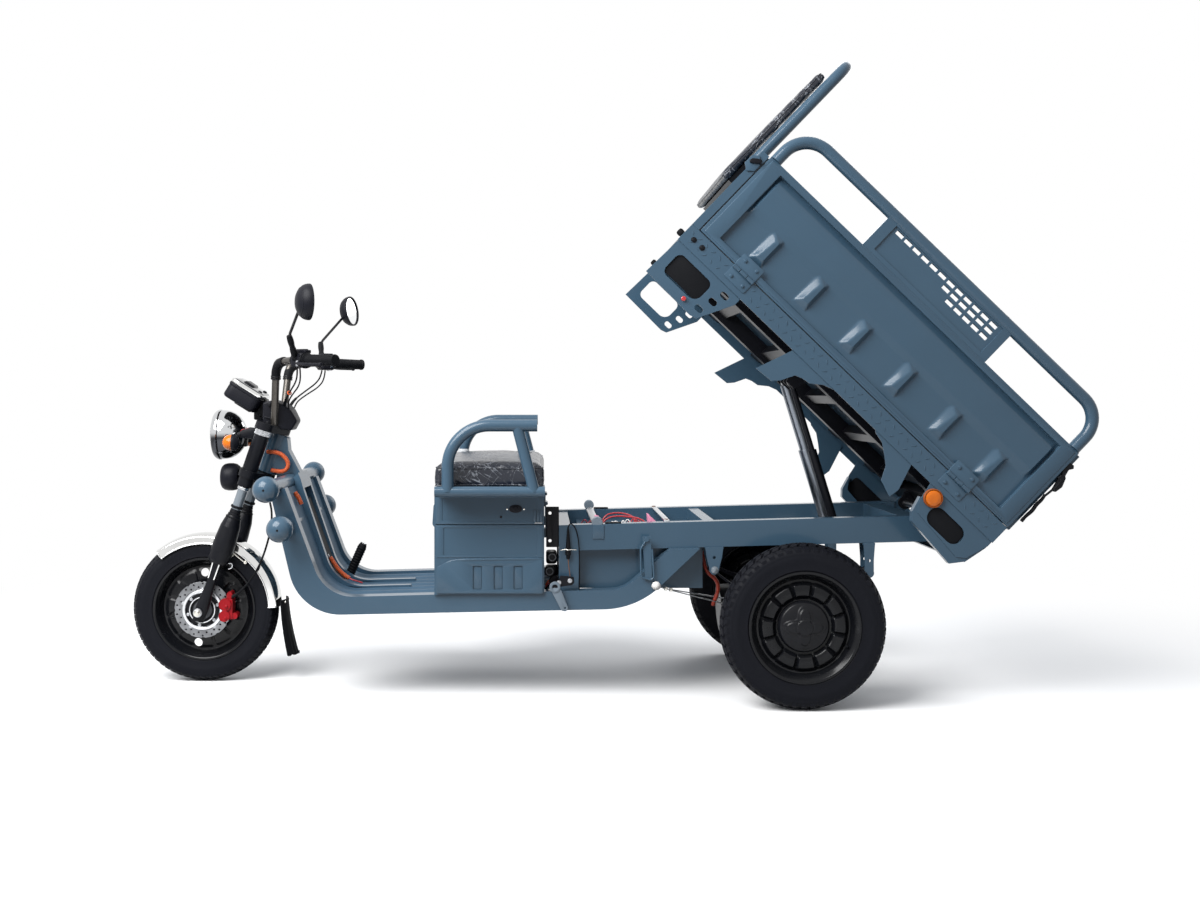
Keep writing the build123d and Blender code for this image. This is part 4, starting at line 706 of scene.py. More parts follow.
def tread_pitch(radius, half, rows, depth, pitch):
    """The blocks of one pitch of a tread; rows are (across from, across to, start, length, skew) shares."""
    shape = bmesh.new()

    def crown(h):
        return radius - 9.0 * (abs(h) / (half - 13.0)) ** 2.2

    for h_from, h_to, start, length, skew in rows:
        layers = []
        for drop, inset in ((depth + 1.5, 0.0), (0.0, 0.7)):
            ring = []
            cuts = (h_from + inset, (h_from + h_to) / 2, h_to - inset)
            for h in cuts:
                along = (start + skew * (h - h_from) / (h_to - h_from)) * pitch
                ring.append((h, along + inset))
            for h in reversed(cuts):
                along = (start + skew * (h - h_from) / (h_to - h_from) + length) * pitch
                ring.append((h, along - inset))
            layers.append([shape.verts.new((*polar(crown(h) - drop, s / radius), h)) for h, s in ring])
        low, high = layers
        for a in range(6):
            b = (a + 1) % 6
            shape.faces.new((low[a], low[b], high[b], high[a]))
        shape.faces.new((high[0], high[1], high[4], high[5]))
        shape.faces.new((high[1], high[2], high[3], high[4]))
    bmesh.ops.recalc_face_normals(shape, faces=shape.faces)
    return shape


def build_tyre(node_name, centre, side, radius, half, bead_r, rows, depth, count):
    body = BODY_OF[node_name]
    x, y, z = centre
    place = MM @ outward(x, y, z, side)
    part(node_name + "_carcass", lathe(tyre_profile(radius, half, bead_r, depth), 128, closed=True), TYRE, body,
        place, sharp=50, replaces=node_name)
    pitch = ROUND * radius / count
    blocks = tread_pitch(radius - 0.3, half, rows, depth, pitch)
    places = [turn(360 * i / count, "Z") for i in range(count)]
    copies(node_name + "_tread", blocks, places, TYRE, body, place, sharp=20)


FRONT_ROWS = ((-40, -26, 0.05, 0.62, 0.18), (-23, -10, 0.30, 0.70, -0.25), (-7, 7, 0.0, 0.80, 0.25),
    (10, 23, 0.05, 0.70, 0.25), (26, 40, 0.23, 0.62, -0.18))
REAR_ROWS = ((-47, -33, 0.0, 0.62, 0.12), (-30, -12, 0.25, 0.72, -0.3), (-9, 9, 0.0, 0.78, 0.3),
    (12, 30, 0.0, 0.72, 0.3), (33, 47, 0.12, 0.62, -0.12))
build_tyre("front_tyre", (FRONT_AXLE[0], 0, FRONT_AXLE[1]), -1, 240, 43, 158, FRONT_ROWS, 5.5, 66)
for side, word in SIDES:
    build_tyre("rear_tyre_" + word, (REAR_AXLE[0], side * TRACK_HALF, REAR_AXLE[1]), side, 250, 50, 158, REAR_ROWS, 7,
        54)


def rim_profile(half, bead_r):
    """Closed section of a drop-centre rim with rolled flanges."""
    edge = half - 5
    outer = ((-15, 26), (-9, 19), (-6.5, 12), (-1.5, 9), (1.5, 2), (6, -0.5), (10, 0), (10, 3), (5, 5.5), (1, 9),
        (-1, 14), (-10, 28))
    inner = ((-10, 28), (-1, 14), (1, 9), (9, 0), (4, 1), (-4, 11), (-14, 26))
    return ([(bead_r - 20, 4)] + [(bead_r + out, edge - inset) for out, inset in outer]
        + [(bead_r + out, inset - edge) for out, inset in inner])


def petals(r_low, r_high, base, rise, count, phase):
    """Height of a ring of pressed, rounded petals with narrow valleys between them."""
    def height(r, angle):
        along = (r - r_low) / (r_high - r_low)
        across = ((angle + phase) * count / (ROUND)) % 1.0
        dome = smooth_step(min(along, 1 - along) / 0.26)
        pad = smooth_step(min(across, 1 - across) / 0.13)
        crest = 1 - 0.25 * (2 * along - 1) ** 2
        return base + rise * dome * crest * (0.35 + 0.65 * pad)
    return height


def build_front_wheel():
    x, z = FRONT_AXLE
    place = MM @ outward(x, 0, z, -1)
    body = "front_wheel"
    web = relief(30, 141, petals(62, 137, 6.0, 8.0, 12, radians(106)), 3.5, 20, 168)
    holes = []
    for angle in (91.0, -102.0):
        hole = prism(circle(0, 0, 13.5, 28), -30, 40)
        holes.append(set_in(hole, move(*polar(117, radians(angle)))))
    web = cut("web", web, holes)
    part("front_rim_shell", [lathe(rim_profile(43, 158), 96, closed=True), web], BLACK_GLOSS, body, place, sharp=40,
        replaces="front_rim")
    hub = lathe([(9, 57), (26, 57), (30, 54), (34, 50), (34, 20), (60, 12), (60, -8), (34, -14), (34, -50), (30, -54),
            (9, -54)], 48, closed=True)
    part("front_hub", hub, CAST, body, place)
    ring = [lathe([(56, 56.6), (57.5, 58), (65, 58), (66.5, 56.6), (66.5, 55), (56, 55)], 72, closed=True),
        lathe([(38, 57), (39.5, 60), (42.5, 60), (44, 57), (44, 54.5), (38, 54.5)], 64, closed=True)]
    part("front_brake_carrier", ring, BRIGHT, body, place)
    places = [move(*polar(50.5, radians(18 + 60 * i)), 53) for i in range(6)]
    copies("front_disc_bolts", bolt_head(3.4, 2.4), places, STEEL, body, place)
    stem = pipe([(0, 0, 0), (0, 0, 26)], 4, 12, swell=lambda t: 4.6 if t < 0.5 else 3.2)
    valve = set_in(stem, aim((-118, -20, 10), (-112, -18, 60)))
    part("front_valve", valve, RUBBER, body, place)


def bolt_head(half_width, height, washer=True):
    """Hexagon head on a washer, its seat at 0."""
    low = 1.0 if washer else 0.0
    shape = prism(circle(0, 0, half_width * 1.12, 6), low, low + height, 0.5)
    if washer:
        return joined([shape, prism(circle(0, 0, half_width * 1.6, 16), 0, low + 0.05, 0.2, segments=1)])
    return shape


def build_rear_wheel(side):
    word = "left" if side < 0 else "right"
    body = "rear_wheel_" + word
    x, z = REAR_AXLE
    place = MM @ outward(x, side * TRACK_HALF, z, side)

    def cap_height(r, angle):
        lobe = 41 + 15 * cos(4 * angle)
        dome = 45 - 15 * (r / 77) ** 2.4
        step = 3.2 * smooth_step((lobe - r) / 4) + 1.8 * smooth_step((lobe + 11 - r) / 4) - 1.4 * smooth_step(
            (29 - r) / 3)
        boss = 3.0 * smooth_step((25 - r) / 3)
        lip = -5 * smooth_step((r - 71) / 6)
        return dome + step + boss + lip - 4

    cap = relief(1.2, 77, cap_height, 5, 44, 144)
    centre = lathe([(0, 44.5), (1.4, 44.5), (1.4, 39), (0, 39)], 24)
    web = relief(70, 142, petals(82, 137, 13.0, 15.0, 12, radians(12)), 4, 22, 180)
    drum = lathe([(60, 12), (92, 12), (94, 9), (94, -42), (90, -46), (60, -46), (60, -40), (86, -38), (86, 8),
            (60, 8)], 64, closed=True)
    part(body + "_shell", [lathe(rim_profile(50, 158), 96, closed=True), web, drum], BLACK_GLOSS, body, place,
        sharp=40, replaces=body)
    part(body + "_hub_cap", [cap, centre], BLACK_SATIN, body, place, sharp=50)
    stem = pipe([(0, 0, 0), (0, 0, 24)], 4, 12, swell=lambda t: 4.6 if t < 0.5 else 3.2)
    part(body + "_valve", set_in(stem, aim((128, -58, 10), (124, -56, 50))), RUBBER, body, place)


build_front_wheel()
for side in (-1, 1):
    build_rear_wheel(side)


def build_front_axle_ends():
    x, z = FRONT_AXLE
    for side, word in SIDES:
        place = MM @ outward(x, side * 121.2, z, side)
        nut = prism(circle(0, 0, 11.5, 6), 0, 9, 1.2)
        end = lathe([(0, 12.5), (5.5, 12.5), (7, 11), (7, 2), (0, 2)], 24)
        part("axle_nut_" + word, [nut, end], ZINC, "steering", place)


GUARD_FROM, GUARD_TO = 1.5, 129.5          # where the mudguard ends, degrees round the front axle


def build_mudguard():
    """Bright crowned mudguard with rolled edges."""
    x, z = FRONT_AXLE
    section = []
    half, top, skirt = 50.5, 248.3, 214.5
    for k in range(-14, 15):
        t = k / 14
        if abs(t) > 0.72:
            share = (abs(t) - 0.72) / 0.28
            section.append(((half - 0.8 * (1 - share)) * (1 if t > 0 else -1), 237 - (237 - skirt) * share))
        else:
            share = t / 0.72
            section.append(((half - 0.8) * sin(share * pi / 2), 237 + (top - 237) * cos(share * pi / 2)))
    steps = 56
    shape = sheet(*([[(x + (r - inset) * cos(angle), y * (1 - inset / half), z + (r - inset) * sin(angle)) for y,
            r in section] for angle in (radians(GUARD_FROM + (GUARD_TO - GUARD_FROM) * i / steps)
            for i in range(steps + 1))] for inset in (0.0, 2.0)))
    beads = []
    for side in (-1, 1):
        path = [(x + (skirt + 1.5) * cos(radians(a)), side * (half - 1.2), z + (skirt + 1.5) * sin(radians(a)))
            for a in (1.5 + 128 * i / 48 for i in range(49))]
        beads.append(pipe(path, 2.3, 10))
    for angle in (1.8, 129.2):
        path = [(x + (r - 1) * cos(radians(angle)), y, z + (r - 1) * sin(radians(angle))) for y, r in section]
        beads.append(pipe(path, 2.0, 8))
    part("front_mudguard_shell", [shape, *beads], CHROME, sharp=30, replaces="front_mudguard")
    stays = []
    for side in (-1, 1):
        for start, end in (((-1010, side * 51.8, 415), (-1021, side * 58, 452)),
                ((-968, side * 51.8, 395), (-1018, side * 58, 438))):
            stays.append(pipe([start, ((start[0] + end[0]) / 2, side * 56, (start[2] + end[2]) / 2), end], 2.6, 10))
    part("mudguard_stays", stays, ZINC)
    places = [outward(-1010, side * 51.6, 418, side) for side in (-1, 1)] + [outward(-966, side * 51.6, 395, side)
        for side in (-1, 1)]
    copies("mudguard_screws", bolt_head(3.6, 2.6), places, ZINC)


def build_mudflap():
    """Rubber flap that curves back, its lower edge cut ragged."""
    rng = random.Random(4)
    columns, rows = 48, 22
    ragged = [5 + 9 * rng.random() for _ in range(columns + 1)]

    def spot(i, j, layer):
        y, t = -49 + 98 * i / columns, j / rows
        drop = 30 - (190 - ragged[i] * (1 if j == rows else 0)) * t
        x = -852 + 5.5 * t + 18.5 * t * t + (14 + 12 * t) * (1 - (y / 49) ** 2) + layer * 0.9
        return x + 1.6 * cos(i * 0.8) * t * t, y, 240 + drop + layer * 0.15

    shape = sheet(*([[spot(i, j, layer) for j in range(rows + 1)] for i in range(columns + 1)]
            for layer in (0.0, 4.0)))
    part("front_mudflap_sheet", shape, RUBBER, replaces="front_mudflap")
    places = [aim((-840, y, 262), (-829, y, 264)) for y in (-30, 30)]
    copies("mudflap_rivets", bolt_head(3.2, 2.2), places, ZINC)


build_front_axle_ends()
build_mudguard()
build_mudflap()


# ---- bed ----
BED_LENGTH, BED_HALF, BED_SIDE_H = 1264.0, 480.0, 305.0
FIELD = (57.0, 1210.0, 24.0, 283.0)          # the pressed field of a side panel: a from, to, n from, to
HINGES = ((141.0, 222.0), (1019.0, 1107.0))
HINGE_Y, HINGE_N = 484.0, -4.0


def profile_value(points, x):
    """Height at x on a line through points."""
    for (x0, h0), (x1, h1) in zip(points, points[1:]):
        if x <= x1:
            return h0 + (h1 - h0) * max(0.0, (x - x0) / (x1 - x0))
    return points[-1][1]


FIELD_DEPTH = [(24, 4), (28, 16), (138, 16), (144, 14.5), (170, 5.0), (176, 3.6), (235, 2.6), (238, 2.0), (241, 2.8),
    (258, 5), (276, 14), (283, 17)]


def lump(a, n, low, high, start, width):
    """Share, 0 to 1, of a pressed lump: a long slope to the front that widens upward, a steep one to the rear."""
    slope = width * (0.30 + 0.34 * (n - low) / (high - low))
    across = min((a - start) / slope, (start + width - a) / (0.2 * width))
    along = min(n - low, high - n) / 20
    return max(0.0, min(1.0, across, along))


def pressed_field(a_from, a_to, n_from, n_to, depth_at, level, thick=2.0, step=4.0):
    """Closed thin sheet pressed to depth_at(a, n) below level."""
    columns = max(2, round((a_to - a_from) / step))
    rows = max(2, round((n_to - n_from) / step))
    spots = [[(a_from + (a_to - a_from) * i / columns, n_from + (n_to - n_from) * j / rows) for j in range(rows + 1)]
        for i in range(columns + 1)]
    return sheet(*([[(a, n, level - drop - depth_at(a, n)) for a, n in row] for row in spots]
            for drop in (0.0, thick)))


def side_depth(a, n):
    depth = profile_value(FIELD_DEPTH, n)
    for index in range(6):
        start = 157 + 184 * index
        if start - 1 < a < start + 50:
            share = lump(a, n, 46, 156, start, 50)
            depth = min(depth, 16 - 14.5 * share) if share > 0 else depth
    ends = min(a - FIELD[0], FIELD[1] - a)
    if ends < 14:
        depth = max(depth, 17 - (17 - depth) * max(0.0, ends - 4) / 10)
    return depth


def ring_prism(outer, inner, low, high, soft=0.0):
    return prism(outer, low, high, soft, holes=(inner,))


def build_side_panel(side):
    word = "left" if side < 0 else "right"
    place = BED_MM @ walled(side)
    a0, a1, n0, n1 = FIELD
    frame_low = ring_prism(box_outline(0, BED_LENGTH, 2, BED_SIDE_H, 3), box_outline(a0, a1, n0, n1), BED_HALF - 25,
        BED_HALF - 2, 1.2)
    frame_high = ring_prism(box_outline(11, BED_LENGTH - 11, 8, BED_SIDE_H - 7, 4),
        box_outline(a0 + 1, a1 - 1, n0 + 1, n1 - 1), BED_HALF - 4, BED_HALF, 1.0)
    skin = pressed_field(a0 - 1, a1 + 1, n0 - 1, n1 + 1, side_depth, BED_HALF - 1)
    pieces = [frame_low, frame_high, skin]
    for low, high in HINGES:
        pieces.append(prism(box_outline(low, high, 0, 44, 6), BED_HALF - 1, BED_HALF + 3, 0.8))
        pieces += knuckles(low, high, (0, 2))
    part("side_panel_%s_pressed" % word, pieces, PAINT, "side_" + word, place, replaces="side_panel_" + word)
    bolts = [move(a, 28, BED_HALF + 3) for low, high in HINGES for a in (low + 18, high - 18)]
    copies("side_hinge_bolts_" + word, bolt_head(4.2, 3), bolts, PAINT, "side_" + word, place)
    lower = []
    for low, high in HINGES:
        lower.append(prism(box_outline(low, high, -46, -6, 6), BED_HALF - 5, BED_HALF - 2, 0.8))
        lower += knuckles(low, high, (1,))
    part("skirt_hinges_" + word, lower, PAINT, "bed", place)
    bolts = [move(a, -32, BED_HALF - 2) for low, high in HINGES for a in (low + 18, high - 18)]
    copies("skirt_hinge_bolts_" + word, bolt_head(4.2, 3), bolts, PAINT, "bed", place)


def knuckles(low, high, which, outer=HINGE_Y, radius=6.6):
    """Segments of a hinge's barrel, of three, along the panel's foot."""
    third = (high - low) / 3
    made = []
    for k in which:
        start, end = low + third * k + 0.6, low + third * (k + 1) - 0.6
        made.append(set_in(eased(0, radius, 0, end - start, 1.0, 0.8, 20),
                aim((start, HINGE_N, outer), (end, HINGE_N, outer))))
    return made


def build_skirt_ticks(side):
    """Raised ticks of the checker plate that the bed's skirt is folded from."""
    word = "left" if side < 0 else "right"
    tick = prism([(-8, 0), (-3, -1.7), (3, -1.7), (8, 0), (3, 1.7), (-3, 1.7)], 0, 1.2, 0.5, segments=1)
    places = []
    for i in range(46):
        for row in range(2):
            a, n = -10 + 27.5 * i + 13.7 * row, -18 - 25 * row
            if any(low - 12 < a < high + 12 for low, high in HINGES) or a > 1238:
                continue
            places.append(move(a, n, BED_HALF - 5.1) @ turn(45 if (i + row) % 2 else -45, "Z"))
    copies("skirt_ticks_" + word, tick, places, PAINT, "bed", BED_MM @ walled(side), sharp=20)


def gate_depth(y, n):
    depth = profile_value([(24, 3), (28, 7), (160, 7), (166, 6), (180, 3), (240, 2.2), (243, 1.6), (246, 2.4),
            (272, 5), (283, 7)], n)
    for index in range(4):
        start = -332 + 190 * index - 6
        if start - 1 < y < start + 50:
            share = lump(y, n, 46, 152, start, 50)
            depth = min(depth, 7 - 5.5 * share) if share > 0 else depth
    return depth


GATE_HINGES = (-330, 250)          # left edges of the hinge straps
HINGE_WIDTH = 80


def build_tailgate():
    """Drawn as (across, up, outward), with outward to the rear."""
    half = 452.0
    inner, outer = 1266.0, 1282.0
    place = BED_MM @ ACROSS
    frame_low = ring_prism(box_outline(-half, half, 2, 305, 3), box_outline(-half + 50, half - 50, 24, 283), inner,
        outer - 1.5, 1.2)
    frame_high = ring_prism(box_outline(-half + 9, half - 9, 8, 298, 4), box_outline(-half + 49, half - 49, 25, 282),
        outer - 3, outer, 1.0)
    skin = pressed_field(-half + 49, half - 49, 23, 284, gate_depth, outer - 1)
    pieces = [frame_low, frame_high, skin]
    for low in GATE_HINGES:
        pieces.append(prism(box_outline(low, low + HINGE_WIDTH, 0, 44, 6), outer - 1, outer + 3, 0.8))
        pieces += knuckles(low, low + HINGE_WIDTH, (0, 2), outer + 4, 6.8)
    part("tailgate_pressed", pieces, PAINT, "tailgate", place, replaces="tailgate")
    bolts = [move(y, 28, outer + 3) for low in GATE_HINGES for y in (low + 18, low + 62)]
    copies("tailgate_hinge_bolts", bolt_head(4.2, 3), bolts, PAINT, "tailgate", place)
    middles = []
    for low in GATE_HINGES:
        middles += knuckles(low, low + HINGE_WIDTH, (1,), outer + 4, 6.8)
        middles.append(prism(box_outline(low + 24, low + 56, -26, -8, 3), 1259, outer + 2, 0.8))
    part("tailgate_hinge_middles", middles, PAINT, "bed", place)


def build_toggles():
    """Toggle latches at the bed's front corners and black rubber buffers on the front plates."""
    for side, word in SIDES:
        place = BED_MM @ walled(side)
        plate = prism(rounded([(-45, 236), (-24, 222), (-6, 238), (-6, 262), (-26, 282), (-44, 268)], 4), 476.5, 481,
            0.8)
        hook = pipe(spline_points([(-38, 250, 484), (-20, 262, 486), (-8, 268, 485), (-6, 262, 482)], 6), 2.4, 8)
        part("corner_latch_" + word, [plate], PAINT, "bed", place)
        lever = prism(rounded([(-40, 252), (-34, 245), (-12, 262), (-8, 273), (-16, 276), (-36, 262)], 4), 481, 488,
            1.5)
        part("corner_lever_" + word, [lever, hook], BLACK, "bed", place)
        buffer = lathe([(0, 0), (9, 0), (11, 3), (11, 12), (8, 17), (0, 18)], 24)
        places = [aim((-30, side * 462, -41), (-60, side * 462, -41))]
        copies("front_buffers_" + word, buffer, places, RUBBER, "bed", BED_MM)
        bolts = [move(6, -32, BED_HALF - 5), move(40, -32, BED_HALF - 5)]
        copies("front_plate_bolts_" + word, bolt_head(5.5, 4), bolts, BLACK, "bed", place)
        reflector = lathe([(0, 4.5), (5.5, 4.2), (7.2, 3), (7.6, 0), (0, 0)], 28)
        part("front_reflector_" + word, set_in(reflector, move(105, -178, BED_HALF - 5)), RED_LENS, "bed", place)


def build_slot_shade_boards():
    """Dark boards behind the slots of the left front plate and of the rear corners: painted shade of the bed's
    inside, seen through the slots.
    """
    for name, side, a_low, a_high, n_low, n_high in (("front_slot_backing", -1, -28, 142, -158, -62),
            ("rear_slot_backing_left", -1, 1040, 1192, -164, -88),
            ("rear_slot_backing_right", 1, 1040, 1192, -164, -88)):
        # a dark board where the slot shows only shade: painted shade
        backing = prism(box_outline(a_low, a_high, n_low, n_high, 16), BED_HALF - 17, BED_HALF - 14, 0.8)
        part(name, backing, RUBBER, "bed", BED_MM @ walled(side))


def build_bed():
    for side in (-1, 1):
        build_side_panel(side)
        build_skirt_ticks(side)
    build_tailgate()
    build_toggles()
    build_slot_shade_boards()


build_bed()


# ---- seat, backrest and seat box ----
def group_crease_highlights():
    """Long sharp creases, as in a tight clear wrap, running slantwise over a pad; the Mask marks where a painted
    highlight goes.
    """
    tree, given, out = group("wrap crease highlights", [("Scale", FLOAT, 34.0), ("Width", FLOAT, 0.014), ("Slant", FLOAT, 0.9)],
        [("Mask", FLOAT), ("Height", FLOAT)])
    place = object_place(tree)
    total, height = None, None
    for way, stretch in ((1, 0.16), (-0.55, 0.22)):
        angle = node(tree, "ShaderNodeCombineXYZ", {"Y": maths(tree, "MULTIPLY", given.outputs["Slant"], way)})
        turned = node(tree, "ShaderNodeVectorRotate", {"Vector": place, "Rotation": angle.outputs[0]},
            rotation_type="EULER_XYZ")
        long = node(tree, "ShaderNodeVectorMath", {0: turned.outputs[0], 1: (1.0, 0.7, stretch)},
            operation="MULTIPLY")
        noise = cloudiness(tree, long.outputs[0], given.outputs["Scale"], 3.0, distortion=0.5)
        away = maths(tree, "ABSOLUTE", maths(tree, "SUBTRACT", noise, 0.5))
        line = node(tree, "ShaderNodeMapRange", {"Value": away, "From Min": 0.0, "From Max": given.outputs["Width"],
                "To Min": 1.0, "To Max": 0.0}, interpolation_type="SMOOTHSTEP").outputs["Result"]
        total = line if total is None else maths(tree, "MAXIMUM", total, line)
        height = noise if height is None else maths(tree, "ADD", height, noise)
    spread = span(tree, cloudiness(tree, place, 11.0, 3.0), 0.42, 0.60)
    tree.links.new(maths(tree, "MULTIPLY", total, spread), out.inputs["Mask"])
    tree.links.new(maths(tree, "ADD", height, maths(tree, "MULTIPLY", total, 0.4)), out.inputs["Height"])
    return tree


CREASE_HIGHLIGHTS = group_crease_highlights()


def wrapped(name, color, pale, rough, share, depth=1.6, specular=0.5):
    """Vinyl under a tight clear wrap: creased, glossy, with pale lines where the wrap is gathered: painted highlights
    of the film's creases.
    """
    material = finish(name, color, rough, drift=0.25, dust=0.0, edge=0.0, grain=420, coarse=0.6, depth=0.1,
        specular=specular)
    tree = material.node_tree
    shader = tree.nodes["Principled BSDF"]
    creases = node(tree, "ShaderNodeGroup", node_tree=CREASE_HIGHLIGHTS)
    under = shader.inputs["Base Color"].links[0].from_socket
    # painted highlight: pale colour mixed in along the wrap's creases
    mask = maths(tree, "MULTIPLY", creases.outputs["Mask"], share)
    tree.links.new(blend_color(tree, mask, under, (*pale, 1)), shader.inputs["Base Color"])
    bump = node(tree, "ShaderNodeBump",
        {"Strength": 1.0, "Distance": depth / 1000, "Height": creases.outputs["Height"],
            "Normal": shader.inputs["Normal"].links[0].from_socket})
    tree.links.new(bump.outputs["Normal"], shader.inputs["Normal"])
    return material


# both wraps carry painted crease highlights
WRAP = wrapped("vinyl in clear wrap", (0.010, 0.013, 0.022), (0.40, 0.43, 0.48), 0.24, 0.55)
WRAP_TAPE = wrapped("pale wrapping film", (0.62, 0.64, 0.66), (0.9, 0.9, 0.9), 0.2, 0.6, 0.8)


PAD_VOXEL = 0.006          # spacing of a pad's points, metres


def pad(name, shape, cap, pressure=4.0):
    """A stuffed pad: the plain form is swollen as cloth, each point held within cap metres of its start."""
    made = as_object(name, shape)
    remesh = made.modifiers.new("even", "REMESH")
    remesh.mode, remesh.voxel_size = "VOXEL", PAD_VOXEL
    even = evaluated(made)
    made.modifiers.clear()
    made.data = even
    start = [v.co.copy() for v in even.vertices]
    cloth = made.modifiers.new("stuffing", "CLOTH")
    cloth.settings.quality = 4
    cloth.settings.tension_stiffness = 30
    cloth.settings.compression_stiffness = 30
    cloth.settings.bending_stiffness = 2.0
    cloth.settings.use_pressure = True
    cloth.settings.uniform_pressure_force = pressure
    cloth.settings.effector_weights.gravity = 0
    for frame_number in range(1, 21):
        bpy.context.scene.frame_set(frame_number)
    swollen = bpy.data.meshes.new_from_object(made.evaluated_get(bpy.context.evaluated_depsgraph_get()))
    for vertex, was, now in zip(even.vertices, start, swollen.vertices):
        shift = now.co - was
        vertex.co = was + shift * min(1.0, cap / max(shift.length, 1e-9))
    made.modifiers.clear()
    bpy.context.scene.frame_set(1)
    return made


def finish_pad(made, finish_of, body, node_name, name):
    smooth = made.modifiers.new("smooth", "SUBSURF")
    smooth.levels = smooth.render_levels = 1
    mesh = evaluated(made)
    made.modifiers.clear()
    made.data = mesh
    mesh.materials.clear()
    mesh.materials.append(finish_of)
    mesh.shade_smooth()
    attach(made, body)
    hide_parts(node_name)
    made.name = name
    return made


def seam_line(a_low, a_high, b_low, b_high, radius):
    """Points round a pad's face, its long sides cut in eight."""
    outline = [Vector(p) for p in box_outline(a_low, a_high, b_low, b_high, radius, 8)]
    return [a.lerp(b, k / 8) for a, b in zip(outline, outline[1:] + outline[:1]) for k in range(8)
        if (a - b).length > 40 or k == 0]


def traced_seam(name, made, points, radius, finish_of, body):
    """Piping laid on the nearest points of a pad's skin."""
    skin = BVHTree.FromObject(made, bpy.context.evaluated_depsgraph_get())
    route = []
    for point in points:
        spot, normal = skin.find_nearest(Vector(point))[:2]
        route.append(spot + normal * radius * 0.35)
    route = spline_points(route, 2, closed=True)
    seam = part(name, pipe(route + route[:2], radius, 8, caps=False), finish_of, body, Matrix.Identity(4))
    return seam


def build_seat_cushion():
    low, high = Vector((-325, -394, 658)), Vector((18, 394, 731))
    middle, size = (low + high) / 2, high - low
    shape = brick(*size, 20, 4)
    bmesh.ops.subdivide_edges(shape, edges=shape.edges, cuts=6, use_grid_fill=True)
    for v in shape.verts:
        x, y, z = (v.co[i] / size[i] * 2 for i in range(3))
        v.co.x -= 5 * x * abs(x) * (1 - y * y)
        v.co.y -= 9 * y * abs(y) * (1 - x * x)
        if z > 0:
            v.co.z += 12 * z * (1 - x * x) * (1 - 0.8 * y ** 4)
    shape.transform(MM @ Matrix.Translation(middle))
    cushion = pad("cushion", shape, 0.007)
    for v in cushion.data.vertices:
        v.co.z = max(v.co.z, 0.6588)
        v.co.z += 0.0012 * noise.noise(Vector((v.co.x * 24, v.co.y * 9, 3))) if v.co.z > 0.70 else 0
        ridge = 1 - abs(noise.noise(Vector(((v.co.x + v.co.z) * 34, v.co.y * 34, (v.co.z - v.co.x) * 9)))) * 5
        if v.co.z < 0.72 and ridge > 0:
            v.co += v.normal * 0.0016 * ridge
    finish_pad(cushion, WRAP, "seat", "seat_cushion", "cushion_seat")
    for tag, z, inset in (("top", 727, 4), ("foot", 667, 3)):
        seam = seam_line(low.x + inset, high.x - inset, low.y + inset, high.y - inset, 26)
        traced_seam("cushion_piping_" + tag, cushion, [MM @ Vector((*p, z)) for p in seam], 0.0022, WRAP, "seat")


def build_backrest():
    low, high = Vector((-71, -340, 190)), Vector((-49, 340, 636))
    middle, size = (low + high) / 2, high - low
    shape = brick(*size, 9, 3)
    bmesh.ops.subdivide_edges(shape, edges=shape.edges, cuts=6, use_grid_fill=True)
    for v in shape.verts:
        x, y, z = (v.co[i] / size[i] * 2 for i in range(3))
        v.co.y -= 6 * y * abs(y) * (1 - z * z)
        if x < 0:
            v.co.x += 5 * x * (1 - y * y) * (1 - z * z)
    shape.transform(BED_MM @ Matrix.Translation(middle))
    back = pad("back", shape, 0.004, 3.0)
    for v in back.data.vertices:
        ridge = 1 - abs(noise.noise(Vector((v.co.x * 12, (v.co.y + v.co.z) * 30, (v.co.z - v.co.y) * 8)))) * 5
        if ridge > 0:
            v.co += v.normal * 0.0012 * ridge
    finish_pad(back, WRAP, "bed", "backrest_cushion", "cushion_back")
    seam = seam_line(low.y + 3, high.y - 3, low.z + 3, high.z - 3, 24)
    traced_seam("cushion_back_piping", back, [BED_MM @ Vector((low.x + 3, *p)) for p in seam], 0.0018, WRAP, "bed")


